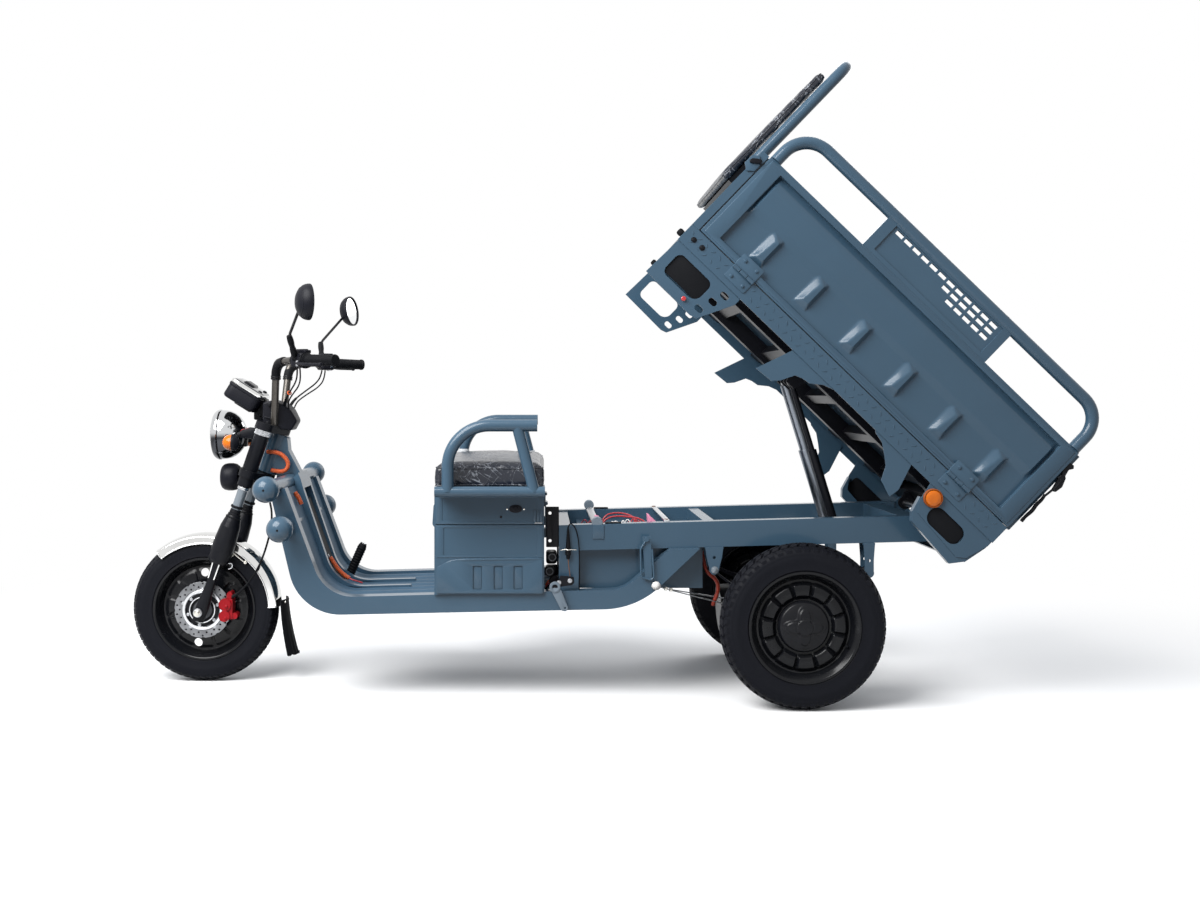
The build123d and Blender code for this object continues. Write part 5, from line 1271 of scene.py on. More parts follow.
def build_seat_box_details():
    """Pressed lower field, lid lines and hinge on both sides of the box, and the lock on the near side."""
    for side, word in SIDES:
        place = MM @ walled(side)
        field = rounded([(-318, 334), (8, 334), (8, 439), (-258, 437), (-292, 428), (-318, 414)],
            [2, 2, 3, 20, 20, 4])
        windows = [box_outline(x, x + 28, 346, 419, 3) for x in (-206, -142, -81)]
        ridge = [(-296, 424), (-284, 431), (-262, 436), (-220, 437.6), (-120, 439), (-4, 440.5), (4, 440.5)]
        bead = pipe(spline_points([(x, z, 322) for x, z in ridge], 6), 4, 12,
            swell=lambda share: 1.5 + 3.4 * min(1, share * 4, (1 - share) * 12 + 0.3))
        part("seat_box_field_" + word, [prism(field, 319.5, 325, 1.8, windows), bead], PAINT, "chassis", place)
        panes = [prism(box_outline(x + 2, x + 26, 348, 417, 3), 319.5, 321.2, 0.6) for x in (-206, -142, -81)]
        part("seat_box_panes_" + word, panes, PAINT, "chassis", place)
        frame_outline = box_outline(-319, 9, 444, 541, 3)
        part("seat_box_frame_" + word, ring_prism(frame_outline, box_outline(-296, -8, 450, 536, 4), 319.5, 321.6,
                0.6), PAINT, "chassis", place)
        lid_ring = ring_prism(box_outline(-319, 9, 547, 634, 3), box_outline(-300, -10, 556, 628, 6), 319.5, 321.2,
            0.5)
        part("seat_lid_ring_" + word, lid_ring, PAINT, "seat", place)
        hinge = [prism(box_outline(-20 + 10 * k, -12 + 10 * k, 549, 590, 2), 320.5, 324 - k % 2, 0.8)
            for k in range(3)]
        part("seat_lid_hinge_" + word, hinge, PAINT, "seat", place)
        pin = set_in(eased(0, 1.7, 0, 24, 0.3, 0.4, 16), aim((-17, 551, 325), (7, 551, 325)))
        part("seat_lid_hinge_pin_" + word, pin, STEEL, "seat", place)
    lock = prism([(-75 + 22 * cos(t) * (1 - 0.12 * cos(t) ** 4), 594 + 12 * sin(t))
            for t in (ROUND * i / 40 for i in range(40))], 320.8, 324.5, 1.2)
    key = set_in(lathe([(7.5, 0), (7.5, 3), (6.2, 3.6), (3, 3.4), (0, 3.2)], 32), move(-75, 594, 324))
    # a black bar on the key face: painted shade of the keyhole
    slot = set_in(brick(1.6, 6, 1.0, 0.2), move(-75, 594, 327.4))
    part("seat_lock", [lock, key], PLASTIC, "seat", NEAR)
    part("seat_lock_keyway", slot, BLACK, "seat", NEAR)
    dot = lathe([(0, 2.2), (1.6, 2.0), (2.8, 1.2), (3.2, 0), (0, 0)], 20)
    copies("seat_lock_screws", dot, [move(x, 593, 321) for x in (-101, -49)], ZINC, "seat", NEAR)
    stud = lathe([(0, 1.2), (3.2, 1.0), (3.8, 0), (0, 0)], 20)
    part("seat_lid_stud", set_in(stud, move(-120, 569, 321)), BLACK, "seat", NEAR)
    lip = prism(rounded([(-325, 548), (-325, 626), (-334, 622), (-338, 590), (-336, 556)], 5), -46, 46, 2)
    part("seat_lid_pull", lip, PAINT, "seat", MM @ Matrix(((1, 0, 0, 0), (0, 0, -1, 0), (0, 1, 0, 0), (0, 0, 0, 1))))


def build_wrapping():
    """Leftover film on the far post and strut of the seat's arm."""
    sleeve = []
    for start, end, swell in (((-277, 425, 707), (-277, 425, 747), 2.2), ((-32, 425, 712), (-39, 425, 738), 1.8)):
        rings = []
        length = (Vector(end) - Vector(start)).length
        for k in range(7):
            rings.append((18.4 + swell * (0.35 + 0.65 * (k % 2)), length * k / 6))
        sleeve.append(set_in(lathe(rings + [(18.1, length), (18.1, 0)], 28, closed=True), aim(start, end)))
    part("arm_wrap_film", sleeve, WRAP_TAPE, "seat", sharp=70)


build_seat_cushion()
build_backrest()
build_seat_box_details()
build_wrapping()


# ---- steering, lamps and controls ----
def painted_dark_reflection(name, color, rough, low):
    """Plating whose colour is darker where it faces down: a painted reflection of the dark ground below."""
    material = finish(name, color, rough, metal=1.0, drift=0.12, drift_scale=9, dust=0.02, edge=0.0, depth=0.003)
    tree = material.node_tree
    shader = tree.nodes["Principled BSDF"]
    # painted reflection: the base colour turns to the dark tone where the surface faces down
    share = span(tree, upward(tree), 0.12, -0.12, interpolation_type="SMOOTHSTEP")
    under = shader.inputs["Base Color"].links[0].from_socket
    tree.links.new(blend_color(tree, share, under, (*low, 1)), shader.inputs["Base Color"])
    return material


# the lamp bowl's plating, with a painted dark reflection on its lower half
BOWL_CHROME = painted_dark_reflection("lamp bowl plating with painted dark reflection", (0.66, 0.67, 0.68), 0.06, (0.05, 0.052, 0.058))


def to_front(x, y, z):
    """Z of the shape to the front of the vehicle."""
    return move(x, y, z) @ turn(-90, "Y")


def to_rear(x, y, z):
    return move(x, y, z) @ turn(90, "Y")


GLASS = finish("clear lamp glass", (0.95, 0.96, 0.97), 0.03, drift=0.02, dust=0.01, edge=0.0, grain=60, depth=0.02,
    sockets={"Transmission Weight": 0.93, "IOR": 1.25})
MIRROR_GLASS = finish("mirror glass", (0.93, 0.94, 0.95), 0.02, metal=1.0, drift=0.02, dust=0.01, edge=0.0, grain=60,
    depth=0.001)
STEEL_GREY = finish("grey fork tube", (0.20, 0.23, 0.26), 0.3, metal=0.4, drift=0.15, dust=0.05, edge=0.0,
    specular=0.3)
DISC_STEEL = finish("ground disc steel", (0.20, 0.205, 0.215), 0.34, metal=1.0, drift=0.45, drift_scale=34, dust=0.1,
    edge=0.0, depth=0.02)
BAR_METAL = finish("dark plated bar", (0.085, 0.078, 0.070), 0.34, metal=0.9, drift=0.3, drift_scale=12, dust=0.05,
    edge=0.1, depth=0.02)
METER_GLASS = finish("smoked meter glass", (0.01, 0.012, 0.016), 0.05, drift=0.1, dust=0.02, edge=0.0, grain=60,
    depth=0.001, sockets={"Coat Weight": 0.6}, specular=0.5)


def cord(name, points, radius, finish_of, body="steering", count=16, steps=10, swell=None, replaces=None):
    """A held cord along its own smooth line."""
    return part(name, pipe(spline_points(points, count), radius, steps, True, swell), finish_of, body,
        replaces=replaces)


def ribbed(radius, depth, ribs):
    """Radius along a corrugated conduit."""
    return lambda share: radius - depth * (0.5 + 0.5 * cos(ROUND * ribs * share)) ** 2


def build_cords():
    conduit = [(-896, -36, 756), (-872, -50, 758), (-842, -54, 748), (-823, -54, 722), (-829, -51, 698),
        (-852, -43, 690), (-884, -33, 696)]
    cord("wiring_conduit", conduit, 6, CONDUIT, "chassis", 60, 16, ribbed(7.2, 1.0, 42), replaces="wiring")
    leads = [[(198, -96, 508), (202, -95, 528), (220, -91, 545), (252, -85, 550), (288, -84, 547), (318, -88, 544),
            (345, -94, 530), (351, -96, 508)], [(205, 30, 508), (209, 31, 528), (227, 38, 545), (258, 44, 549),
            (292, 40, 545), (319, 31, 531), (325, 28, 508)]]
    for number, route in enumerate(leads):
        cord("battery_lead_%d" % number, route, 3, LEAD, "chassis")
    hose = [(-909, -58, 664), (-900, -62, 636), (-885, -64, 603), (-876, -65, 566), (-877, -65, 522),
        (-887, -64, 472), (-903, -64, 420), (-922, -65, 375), (-950, -68, 332), (-982, -71, 298), (-1004, -72, 284)]
    cord("front_brake_hose", hose, 3.5, RUBBER, swell=lambda share: 5.2 if share < 0.04 or share > 0.95 else 3.3,
        replaces="control_cables")
    routes = ([(-762, 236, 1028), (-764, 222, 1005), (-776, 190, 982), (-797, 148, 961), (-818, 105, 940),
            (-832, 70, 922), (-838, 48, 905)], [(-752, 244, 1028), (-752, 228, 997), (-766, 190, 970),
            (-790, 145, 950), (-812, 100, 930), (-822, 66, 914), (-824, 44, 896)])
    for side in (-1, 1):
        for number, route in enumerate(routes):
            boot = (lambda share: 5.4 - 1.6 * min(1, max(0, (0.93 - share) / 0.15)) if share > 0.78
                else 2.6) if number == 0 else None
            cord("control_cable_%s_%d" % ("right" if side > 0 else "left", number),
                [(x, side * y, z) for x, y, z in route], 2.4, RUBBER, swell=boot)
    ring = [(5.6 + 2.2 * cos(t), 2.2 * sin(t)) for t in (ROUND * i / 12 for i in range(12))]
    part("cable_grommet", set_in(lathe(ring, 24, closed=True), aim((-807, -127, 950), (-796, -149, 960))), CONDUIT)


def build_headlight_parts():
    place = to_front(-1030, 0, 812)
    bowl = lathe([(0, -58), (12, -57.6), (28, -54.5), (45, -47), (59, -36.5), (70, -23), (77, -9), (80, 4), (81, 14),
            (81, 22), (77, 23), (0, 23)], 72)
    bezel = lathe([(76, 24), (82, 24.5), (83.5, 27), (83, 32), (80, 38), (76, 43), (73, 45), (71.5, 43), (73, 36),
            (75, 28)], 72, closed=True)
    seam = lathe([(79.4, 22.5), (79.4, 25), (76, 25), (76, 22.5)], 72, closed=True)
    reflector = lathe([(0, 24.5), (20, 25), (45, 28), (64, 34), (72, 39), (74, 36), (74, 24), (0, 24)], 72)
    lens = lathe([(0, 58), (25, 57), (45, 53.6), (62, 48.5), (72.5, 43), (72.5, 41), (62, 46.2), (45, 51.4), (25, 55),
            (0, 56)], 72)
    bulb = lathe([(0, 24), (9, 24.5), (9, 34), (7, 42), (0, 45)], 24)
    part("headlight_bowl", set_in(joined([bowl, bezel]), place), BOWL_CHROME, replaces="headlight")
    part("headlight_seam", set_in(seam, place), BLACK)
    part("headlight_reflector", set_in(reflector, place), CHROME)
    part("headlight_lens", set_in(lens, place), GLASS)
    part("headlight_bulb", set_in(bulb, place), AMBER)
    bracket = [set_in(brick(74, 26, 24, 3), move(-974, 0, 809)), set_in(brick(24, 28, 44, 4), move(-982, 0, 794)),
        set_in(prism(box_outline(-22, 22, -15, 15, 8), 0, 5, 1.2), to_rear(-991, 0, 812) @ turn(90, "Z"))]
    hood = []
    for side in (-1, 1):
        hood.append(
            set_in(prism(rounded([(-990, 806), (-950, 800), (-928, 806), (-928, 836), (-948, 838), (-990, 820)], 5),
                60, 65, 1.5), walled(side)))
        hood.append(set_in(brick(14, 58, 12, 3), move(-984, side * 38, 812)))
    part("headlight_bracket", bracket + hood, BLACK)
    cap = []
    for radius, low, high in ((17, -44, -32), (10, -56, -43)):
        cap.append(set_in(lathe([(0, low), (radius - 2, low), (radius, low + 2), (radius, high), (0, high)], 32),
                place @ move(16, 0, 0)))
    part("headlight_wire_cap", cap, PLASTIC)
    for number, (y, sag) in enumerate(((-14, 0), (-20, 8), (-8, 5))):
        cord("headlight_lead_%d" % number, [(-974, y + 6, 828), (-962, y - 6, 836 - sag), (-944, y - 20, 830 - sag),
                (-930, y - 30, 806 - sag), (-934, y - 26, 782 - sag), (-926, y - 10, 770)], 2.1,
            (LEAD, RUBBER, RUST)[number], "steering", 8, 8)


def build_meter():
    place = move(-972, 0, 940) @ turn(32, "Y")
    outline = box_outline(-62, 62, -75, 75, 30, 8)
    inner = box_outline(-55, 55, -68, 68, 26, 8)
    rim = box_outline(-50, 50, -62, 62, 22, 8)
    body = prism(box_outline(-60, 60, -73, 73, 28, 8), -31, 20, 9, segments=4)
    belt = prism(outline, 12, 22, 2.5, segments=3)
    part("meter_body", set_in(joined([body, belt]), place), PLASTIC, replaces="instrument_pod")
    bezel = ring_prism(box_outline(-61, 61, -74, 74, 29, 8), rim, 22, 35, 5)
    part("meter_bezel", set_in(bezel, place), CHROME)
    glass = prism(inner, 23, 38, 7, segments=4)
    part("meter_glass", set_in(glass, place), METER_GLASS)
    visor = [set_in(prism(rounded([(-30, 36), (-22, 45), (8, 44), (14, 36)], 4), -34, 34, 2), walled(1)),
        *(set_in(lathe([(0, 42.5), (5, 42), (7, 40), (7.5, 34), (0, 34)], 24), move(38, y, 0)) for y in (-38, 38))]
    part("meter_visor", [set_in(joined(visor), place)], BLACK_SATIN)
    foot = [set_in(brick(40, 44, 70, 5), move(-925, 0, 896)), set_in(brick(60, 70, 10, 3), place @ move(12, 0, -33))]
    part("meter_foot", foot, BLACK)
    bolts = [move(-925, -22, z) @ turn(90, "X") for z in (876, 898)]
    copies("meter_foot_bolts", bolt_head(5, 4), bolts, BLACK)


def build_signals():
    lenses, holders = [], []
    for side in (-1, 1):
        place = to_front(-1000, side * 150, 791)
        lenses.append(set_in(lathe([(0, 17), (7, 16.2), (13, 13.4), (18, 9.5), (22, 4), (24.5, -3), (25.5, -10),
                (25.5, -16), (0, -16)], 48), place))
        holders.append(set_in(lathe([(0, -15), (24, -15), (27, -14), (27.4, -18), (26, -24), (20, -31), (13, -36),
                (8, -38), (0, -38)], 48), place))
        path = [(-984, side * 86, 791), (-984, side * 104, 791), (-983, side * 116, 791), (-983, side * 130, 791)]
        holders.append(pipe(path, 7, 16, swell=lambda share: 9.5 if share < 0.3 else 7))
    part("signal_lenses", lenses, AMBER, replaces="turn_signals")
    part("signal_holders", holders, PLASTIC)


def build_horn():
    place = to_front(-1027, 0, 672)
    shell = lathe([(0, 27), (14, 27), (16, 24), (28, 24), (31, 27), (37, 24), (43, 16), (45.5, 4), (45.5, -10),
            (43, -22), (36, -31), (20, -34), (0, -34)], 56)
    ribs = [set_in(brick(56, 2.6, 3, 0.8), place @ turn(60 * k, "Z") @ move(0, 0, 25)) for k in range(3)]
    bracket = [set_in(brick(32, 24, 14, 2), move(-984, 0, 672)), set_in(brick(6, 40, 46, 2), move(-990, 0, 672))]
    part("horn_shell", [set_in(shell, place)] + ribs + bracket, PLASTIC, replaces="horn")
    copies("horn_bolts", bolt_head(4.5, 4), [move(-968, -12, z) @ turn(90, "X") for z in (667, 677)], STEEL)


def build_headset():
    outline = [(-905, 842), (-868, 834), (-812, 826), (-791, 858), (-812, 893), (-832, 911), (-878, 926), (-905, 918)]
    body = prism(rounded(outline, [8, 8, 12, 14, 14, 16, 16, 8], 6), -74, 74, 9, segments=4)
    set_in(body, walled(1))
    for v in body.verts:
        share = max(0.0, (v.co.x + 862) / 72)
        v.co.y *= 1 - 0.55 * share
        v.co.x -= 7 * share
    part("headset_shell", body, PLASTIC, replaces="headset_cover")
    seam = [set_in(prism(rounded([(-900, 868), (-866, 862), (-866, 868), (-898, 874)], 2), 73.2, 74.8, 0.4),
            walled(side)) for side in (-1, 1)]
    part("headset_seams", seam, BLACK)
    screws = [outward(x, side * 74, z, side) for side in (-1, 1) for x, z in ((-888, 852), (-882, 912))]
    copies("headset_screws", bolt_head(4.5, 3), screws, BLACK)


def bar_points(side):
    return [Vector((x, side * y, z)) for x, y, z in ((-868, 66, 840), (-852, 112, 1049), (-768, 228, 1053),
            (-633, 330, 1050))]


def along_grip(side, distance):
    bend, end = bar_points(side)[-2:]
    return end + (bend - end).normalized() * distance


def bend_path(a, corner, b, reach, count=14):
    """Smooth path around a bar's bend, from reach before it to reach after it."""
    start, end = corner + (a - corner).normalized() * reach[0], corner + (b - corner).normalized() * reach[1]
    return [start * (1 - t) ** 2 + corner * 2 * t * (1 - t) + end * t * t
        for t in (i / count for i in range(count + 1))]


def build_bar_parts():
    grips, sleeves, collars, ends, bright = [], [], [], [], []
    for side in (-1, 1):
        foot, corner, bend, _ = bar_points(side)
        profile = [(13, 0), (23.5, 0), (24, 1.5), (24, 5), (20, 7)]
        for k in range(24):
            at_height, size = 9 + 4.6 * k, 18.6 - 1.5 * k / 24
            profile += [(size - 0.8, at_height), (size, at_height + 0.9), (size, at_height + 3.2),
                (size - 0.8, at_height + 4.1)]
        profile += [(18.6, 121), (19, 124), (18, 128.5), (13, 129), (0, 129)]
        grips.append(set_in(lathe([(0, 0)] + profile, 40),
                aim(along_grip(side, 120 + max(0, side) * 9), along_grip(side, -9))))
        path = bend_path(foot, corner, bend, (44, 62))
        sleeves.append(pipe(path, 14.6, 20, swell=lambda share: 14.8 + 0.9 * sin(pi * share)))
        low = corner + (foot - corner).normalized() * 44
        down = (foot - corner).normalized()
        for offset in (0, 7):
            collars.append(set_in(eased(11, 16.4, 0, 5.5, 1, 1), aim(low + down * offset, low + down * (offset + 6))))
        for distance, width, size in ((172, 10, 15), (121 + max(0, side) * 9, 9, 25)):
            ring = [(12, 0), (size, 0), (size + 1, 1), (size + 1, width - 1), (size, width), (12, width)]
            kept = bright if side > 0 and size == 25 else ends
            kept.append(set_in(lathe(ring, 36, closed=True),
                    aim(along_grip(side, distance), along_grip(side, distance + width))))
    part("grip_sleeves", grips, RUBBER, replaces="handlebar_grips")
    part("bar_bend_sleeves", sleeves, RUBBER)
    part("bar_bend_collars", collars, BLACK_SATIN)
    part("bar_clamp_rings", ends, BLACK_SATIN)
    part("bar_clamp_bright", bright, STEEL)
    NODES["handlebar"].data.materials[0] = BAR_METAL


def build_switches():
    """Switch tops, buttons, clamp rings, lever pivots and lever-end balls beside the grips."""
    rubber, bright, black = [], [], []
    for side in (-1, 1):
        middle = along_grip(side, 146)
        place = move(*middle) @ turn(side * 37, "Z")
        black.append(set_in(prism(box_outline(-30, 26, -14, 14, 6), 0, 10, 2), place @ move(4, -side * 4, 22)))
        black.append(set_in(prism(box_outline(-22, 18, -9, 9, 4), 0, 4, 1.2), place @ move(4, -side * 4, 31)))
        for k, (dx, size) in enumerate(((-14, 5), (2, 6), (16, 4.5))):
            rubber.append(set_in(lathe([(0, 5), (size - 1.2, 4.6), (size, 3.4), (size, 0), (0, 0)], 20),
                    place @ move(dx, -side * 20, 8 - 6 * (k % 2)) @ turn(side * 90, "X")))
        pivot = along_grip(side, 126) + Vector((-20, side * 26, -10))
        bright.append(set_in(lathe([(0, 8), (4, 8), (5, 7), (5, -9), (0, -9)], 20), move(*pivot)))
        bright.append(set_in(eased(12.5, 22, 0, 9, 1, 1, 36), aim(along_grip(side, 134), along_grip(side, 143))))
        tip = along_grip(side, 14) + Vector((-26, side * 36, -14))
        black.append(set_in(ball(7.5), move(*tip)))
    part("switch_tops", black, PLASTIC)
    part("switch_buttons", rubber, RUBBER)
    part("lever_pivots", bright, STEEL)


def build_mirror_parts():
    shells, glasses, arms, sleeves = [], [], [], []
    for side, lift in ((-1, 0), (1, 29)):
        base, elbow, head = (Vector((x, side * y, z)) for x, y,
            z in ((-765, 254, 1062), (-776, 295, 1127), (-697, 470, 1220 + lift)))
        face = head + Vector((8 if side < 0 else 2, 0, 0))
        place = move(*face) @ turn(-4 - 4 * side, "Y") @ turn(24 if side < 0 else -16, "Z") @ turn(90, "Y")
        shells.append(set_in(lathe([(0, -36), (12, -35.4), (24, -32.6), (35, -27.5), (44, -20.5), (50, -13), (53, -6),
                (54.2, 0), (54.4, 6.5), (53.4, 8), (51.2, 8), (49.2, 6), (48.6, 3), (0, 3)], 72), place))
        shells.append(set_in(lathe([(40, -24.4), (41.4, -23.6), (42.8, -22.2), (41, -21), (39, -23)], 72,
                closed=True), place))
        glasses.append(set_in(lathe([(0, 5.6), (25, 5.3), (42, 4.5), (48.4, 3.8), (48.4, 3.1), (0, 3.1)], 72), place))
        hold = head + Vector((-24, -side * 30, -27))
        arms.append(pipe([base.lerp(elbow, 0.5)] + bend_path(base, elbow, hold, (22, 24)) + [hold,
                hold.lerp(head, 0.4)], 4.6, 16))
        arms.append(set_in(ball(9.5), move(*hold.lerp(head, 0.25))))
        sleeves.append(pipe([base.lerp(elbow, t / 20) for t in range(21)], 8, 20,
                swell=lambda share: 8.4 + 2.2 * sin(pi * min(1, share * 2)) + (1.6 * sin(pi * (share - 0.5) * 2)
                if share > 0.5 else 0)))
        sleeves.append(set_in(lathe([(0, 0), (11, 0), (12, 1.5), (12, 9), (10.5, 11), (0, 11)], 6),
                aim(base - (elbow - base) * 0.1, elbow)))
    part("mirror_shells", shells, PLASTIC, replaces="mirrors")
    part("mirror_glasses", glasses, MIRROR_GLASS)
    part("mirror_arms", arms, BLACK_SATIN)
    part("mirror_sleeves", sleeves, RUBBER)


def build_fork_parts():
    strips, rings, ridges, dark, tubes = [], [], [], [], []
    for side in (-1, 1):
        for (x1, z1), (x2, z2) in (((-1057, 411), (-1074.7, 351)), ((-1035.7, 404), (-1057, 344.6))):
            for face in (-1, 1):
                y = side * 90 + face * 12
                strips.append(pipe([(x1 + (x2 - x1) * k / 6, y, z1 + (z2 - z1) * k / 6) for k in range(7)], 2.6, 10))
        def on_leg(z):
            return (-1100.8 + (z - 240) * 0.3443, side * 90, z)
        tubes.append(set_in(lathe([(15, 0), (16.2, 0.5), (16.2, 73), (15, 73.5)], 32, closed=True),
                aim(on_leg(572), on_leg(640))))
        teeth = [polar(24.8 + k % 2, pi * k / 60) for k in range(120)]
        rings.append(set_in(prism(teeth, 0, 20, 0), aim(on_leg(813), on_leg(834))))
        rings.append(set_in(eased(14, 19.5, 0, 10, 1, 1, 40), aim(on_leg(636), on_leg(647))))
        for z, size in ((546, 25.5), (555, 21.5), (563, 19)):
            ridge = [(size - 4, -3), (size - 0.6, -2), (size, 0), (size - 0.6, 2), (size - 4, 3)]
            ridges.append(set_in(lathe(ridge, 40, closed=True), aim(on_leg(z), on_leg(z + 6))))
        dark.append(set_in(eased(14, 20.5, 0, 8, 1.5, 2, 40), aim(on_leg(576), on_leg(584))))
    part("fork_strips", strips, CHROME)
    part("fork_rings", rings, BRIGHT)
    part("fork_tubes", tubes, STEEL_GREY)
    part("fork_boot_ridges", ridges + dark, RUBBER)
    hook = pipe(spline_points([(-1022, -56, 392), (-1012, -56, 394), (-1006, -56, 386), (-1010, -56, 376),
            (-1020, -56, 374)], 6), 3, 10)
    part("fork_hose_hook", hook, BRIGHT)
    caliper = [outward(x, -78, z, -1) for x, z in ((-1022, 254), (-1024, 216))]
    copies("caliper_bolts", bolt_head(4.4, 3), caliper, RED)


def build_disc():
    """Drilled band on a dark carrier."""
    place = outward(FRONT_AXLE[0], -50, FRONT_AXLE[1], -1)
    notched = [polar(92 - 2.2 * (k % 12 in (0, 1)), ROUND * k / 144) for k in range(144)]
    holes = [circle(*polar(85 if k % 2 else 75, ROUND * k / 36), 3.3, 10) for k in range(36)]
    band = prism(notched, 0, 4, 0, [circle(0, 0, 68, 72), *holes])
    carrier = prism(circle(0, 0, 53, 60), 0.6, 3, 0.4, [circle(0, 0, 24, 40)])
    arms = [set_in(brick(26, 13, 2.6, 0.4), turn(18 + 72 * k, "Z") @ move(62, 0, 2)) for k in range(5)]
    part("disc_bands", [set_in(band, place)], DISC_STEEL, "front_wheel", replaces="brake_disc")
    part("disc_carrier", [set_in(joined([carrier] + arms), place)], BLACK, "front_wheel")
    buttons = [place @ turn(18 + 72 * k, "Z") @ move(66, 0, 3.6) for k in range(5)]
    copies("disc_buttons", bolt_head(4, 2.5), buttons, STEEL, "front_wheel")


def build_front_details():
    """Screws and short conduit of the front panel, guard plugs and the pedal's rubber."""
    gusset = prism(rounded([(-874, 664), (-826, 658), (-826, 700), (-870, 700)], 4), -2, 2, 0.6)
    part("head_gusset", gusset, PAINT, "chassis", NEAR)
    plug = lathe([(0, 1.2), (3, 1.0), (3.6, 0), (0, 0)], 20)
    plugs = [outward(x, side * 459.6, z, side) for side in (-1, 1) for x, z in ((-822, 660), (-781, 541))]
    copies("guard_plugs", plug, plugs, BLACK, "chassis")
    ribs = pipe([Vector((-650, 150, 332)).lerp(Vector((-604, 150, 435)), k / 60) for k in range(61)], 15, 24,
        swell=lambda share: 14.4 + 1.6 * (0.5 + 0.5 * cos(ROUND * 12 * share)) if share < 0.9
        else 14.4 - 40 * (share - 0.9))
    part("pedal_rubber", ribs, RUBBER, "chassis", replaces="brake_pedal")
    for name, route in (("floor_conduit", [(-694, -8, 406), (-680, -9, 386), (-670, -11, 371), (-658, -13, 358),
                (-645, -16, 347), (-630, -19, 338)]),
            ("cover_conduit", [(-784, -150, 632), (-776, -152, 620), (-768, -154, 607), (-764, -152, 594)])):
        cord(name, route, 7, CONDUIT, "chassis", 40, 14, ribbed(7.4, 1.0, 24))
    cord("floor_lead", [(-640, -17, 343), (-626, -25, 338), (-612, -28, 332), (-598, -24, 328), (-586, -20, 323)],
        2.4, LEAD, "chassis", 8)
    screws = [move(x, -12, z) @ turn(70, "Y") for x, z in ((-762, 564), (-702, 411))]
    copies("cover_screws", bolt_head(5, 4), screws, STEEL, "chassis")
    NODES["cable_cover"].data.materials[0] = RUBBER
    tip = set_in(lathe([(0, 3), (6, 2.6), (9, 1), (9.5, -2), (0, -2)], 24), aim((-604.4, 150, 434), (-602, 150, 440)))
    part("pedal_tip", tip, BRIGHT, "chassis")


build_cords()
build_headlight_parts()
build_meter()
build_signals()
build_horn()
build_headset()
build_bar_parts()
build_switches()
build_mirror_parts()
build_fork_parts()
build_disc()
build_front_details()


# ---- footboard, levers, straps and wiring of the chassis ----
FLOOR_PAINT = finish("walked floor paint", (0.052, 0.096, 0.144), 0.55, dust=0.0, drift=0.25, drift_scale=6, edge=0.2,
    worn=(0.22, 0.28, 0.34), specular=0.12)
PRIMER = finish("grey primer", (0.15, 0.19, 0.23), 0.4, drift=0.2, dust=0.1, edge=0.4, worn=(0.45, 0.47, 0.5),
    specular=0.3)
FLOOR_SLOPE = tan(radians(1.5))
FLOOR_BEND = 128           # radius where the floor turns up, millimetres


def floor_top(x):
    """Height of the side beams' top."""
    return 326 + FLOOR_SLOPE * (x + 431)


def rail_top(x):
    return 541 + FLOOR_SLOPE * (x - 124)


def build_footboard():
    """Sheet with soft lengthwise ribs, bent up into the front panel."""
    top, foot, rear = Vector((-796, 650)), Vector((-671, floor_top(-671) - 12)), Vector((120, floor_top(120) - 12))
    into = (top - foot).normalized()
    out = (rear - foot).normalized()
    reach = FLOOR_BEND / tan(into.angle(out) / 2)
    start, end = foot + into * reach, foot + out * reach
    centre_way = (into + out).normalized()
    centre = foot + centre_way * (FLOOR_BEND / sin(into.angle(out) / 2))
    first, last = start - centre, end - centre
    line = [top]
    for k in range(17):
        share = k / 16
        line.append(centre + (first * sin((1 - share) * first.angle(last)) + last
                * sin(share * first.angle(last))) / sin(first.angle(last)))
    line += [rear]
    across = [-260.5]
    for index in range(7):
        y = -225 + 75 * index
        across += [y - 22, y - 15, y - 9, y + 9, y + 15, y + 22]
    across.append(260.5)
    layers = []
    for drop in (0.0, 3.4):
        rows = []
        for i, here in enumerate(line):
            ahead = (line[min(i + 1, len(line) - 1)] - line[max(i - 1, 0)]).normalized()
            up = Vector((-ahead.y, ahead.x))
            on_floor = max(0.0, min(1.0, (here.x + 700) / 120))
            row = []
            for k, y in enumerate(across):
                ridge = 0.0 if k in (0, len(across) - 1) else (0, 3.0, 6.0, 6.0, 3.0, 0)[(k - 1) % 6]
                spot = here + up * (ridge * on_floor - drop)
                row.append((spot.x, y, spot.y))
            rows.append(row)
        layers.append(rows)
    part("footboard_sheet", sheet(*layers), FLOOR_PAINT, "chassis", sharp=24, replaces="footboard")


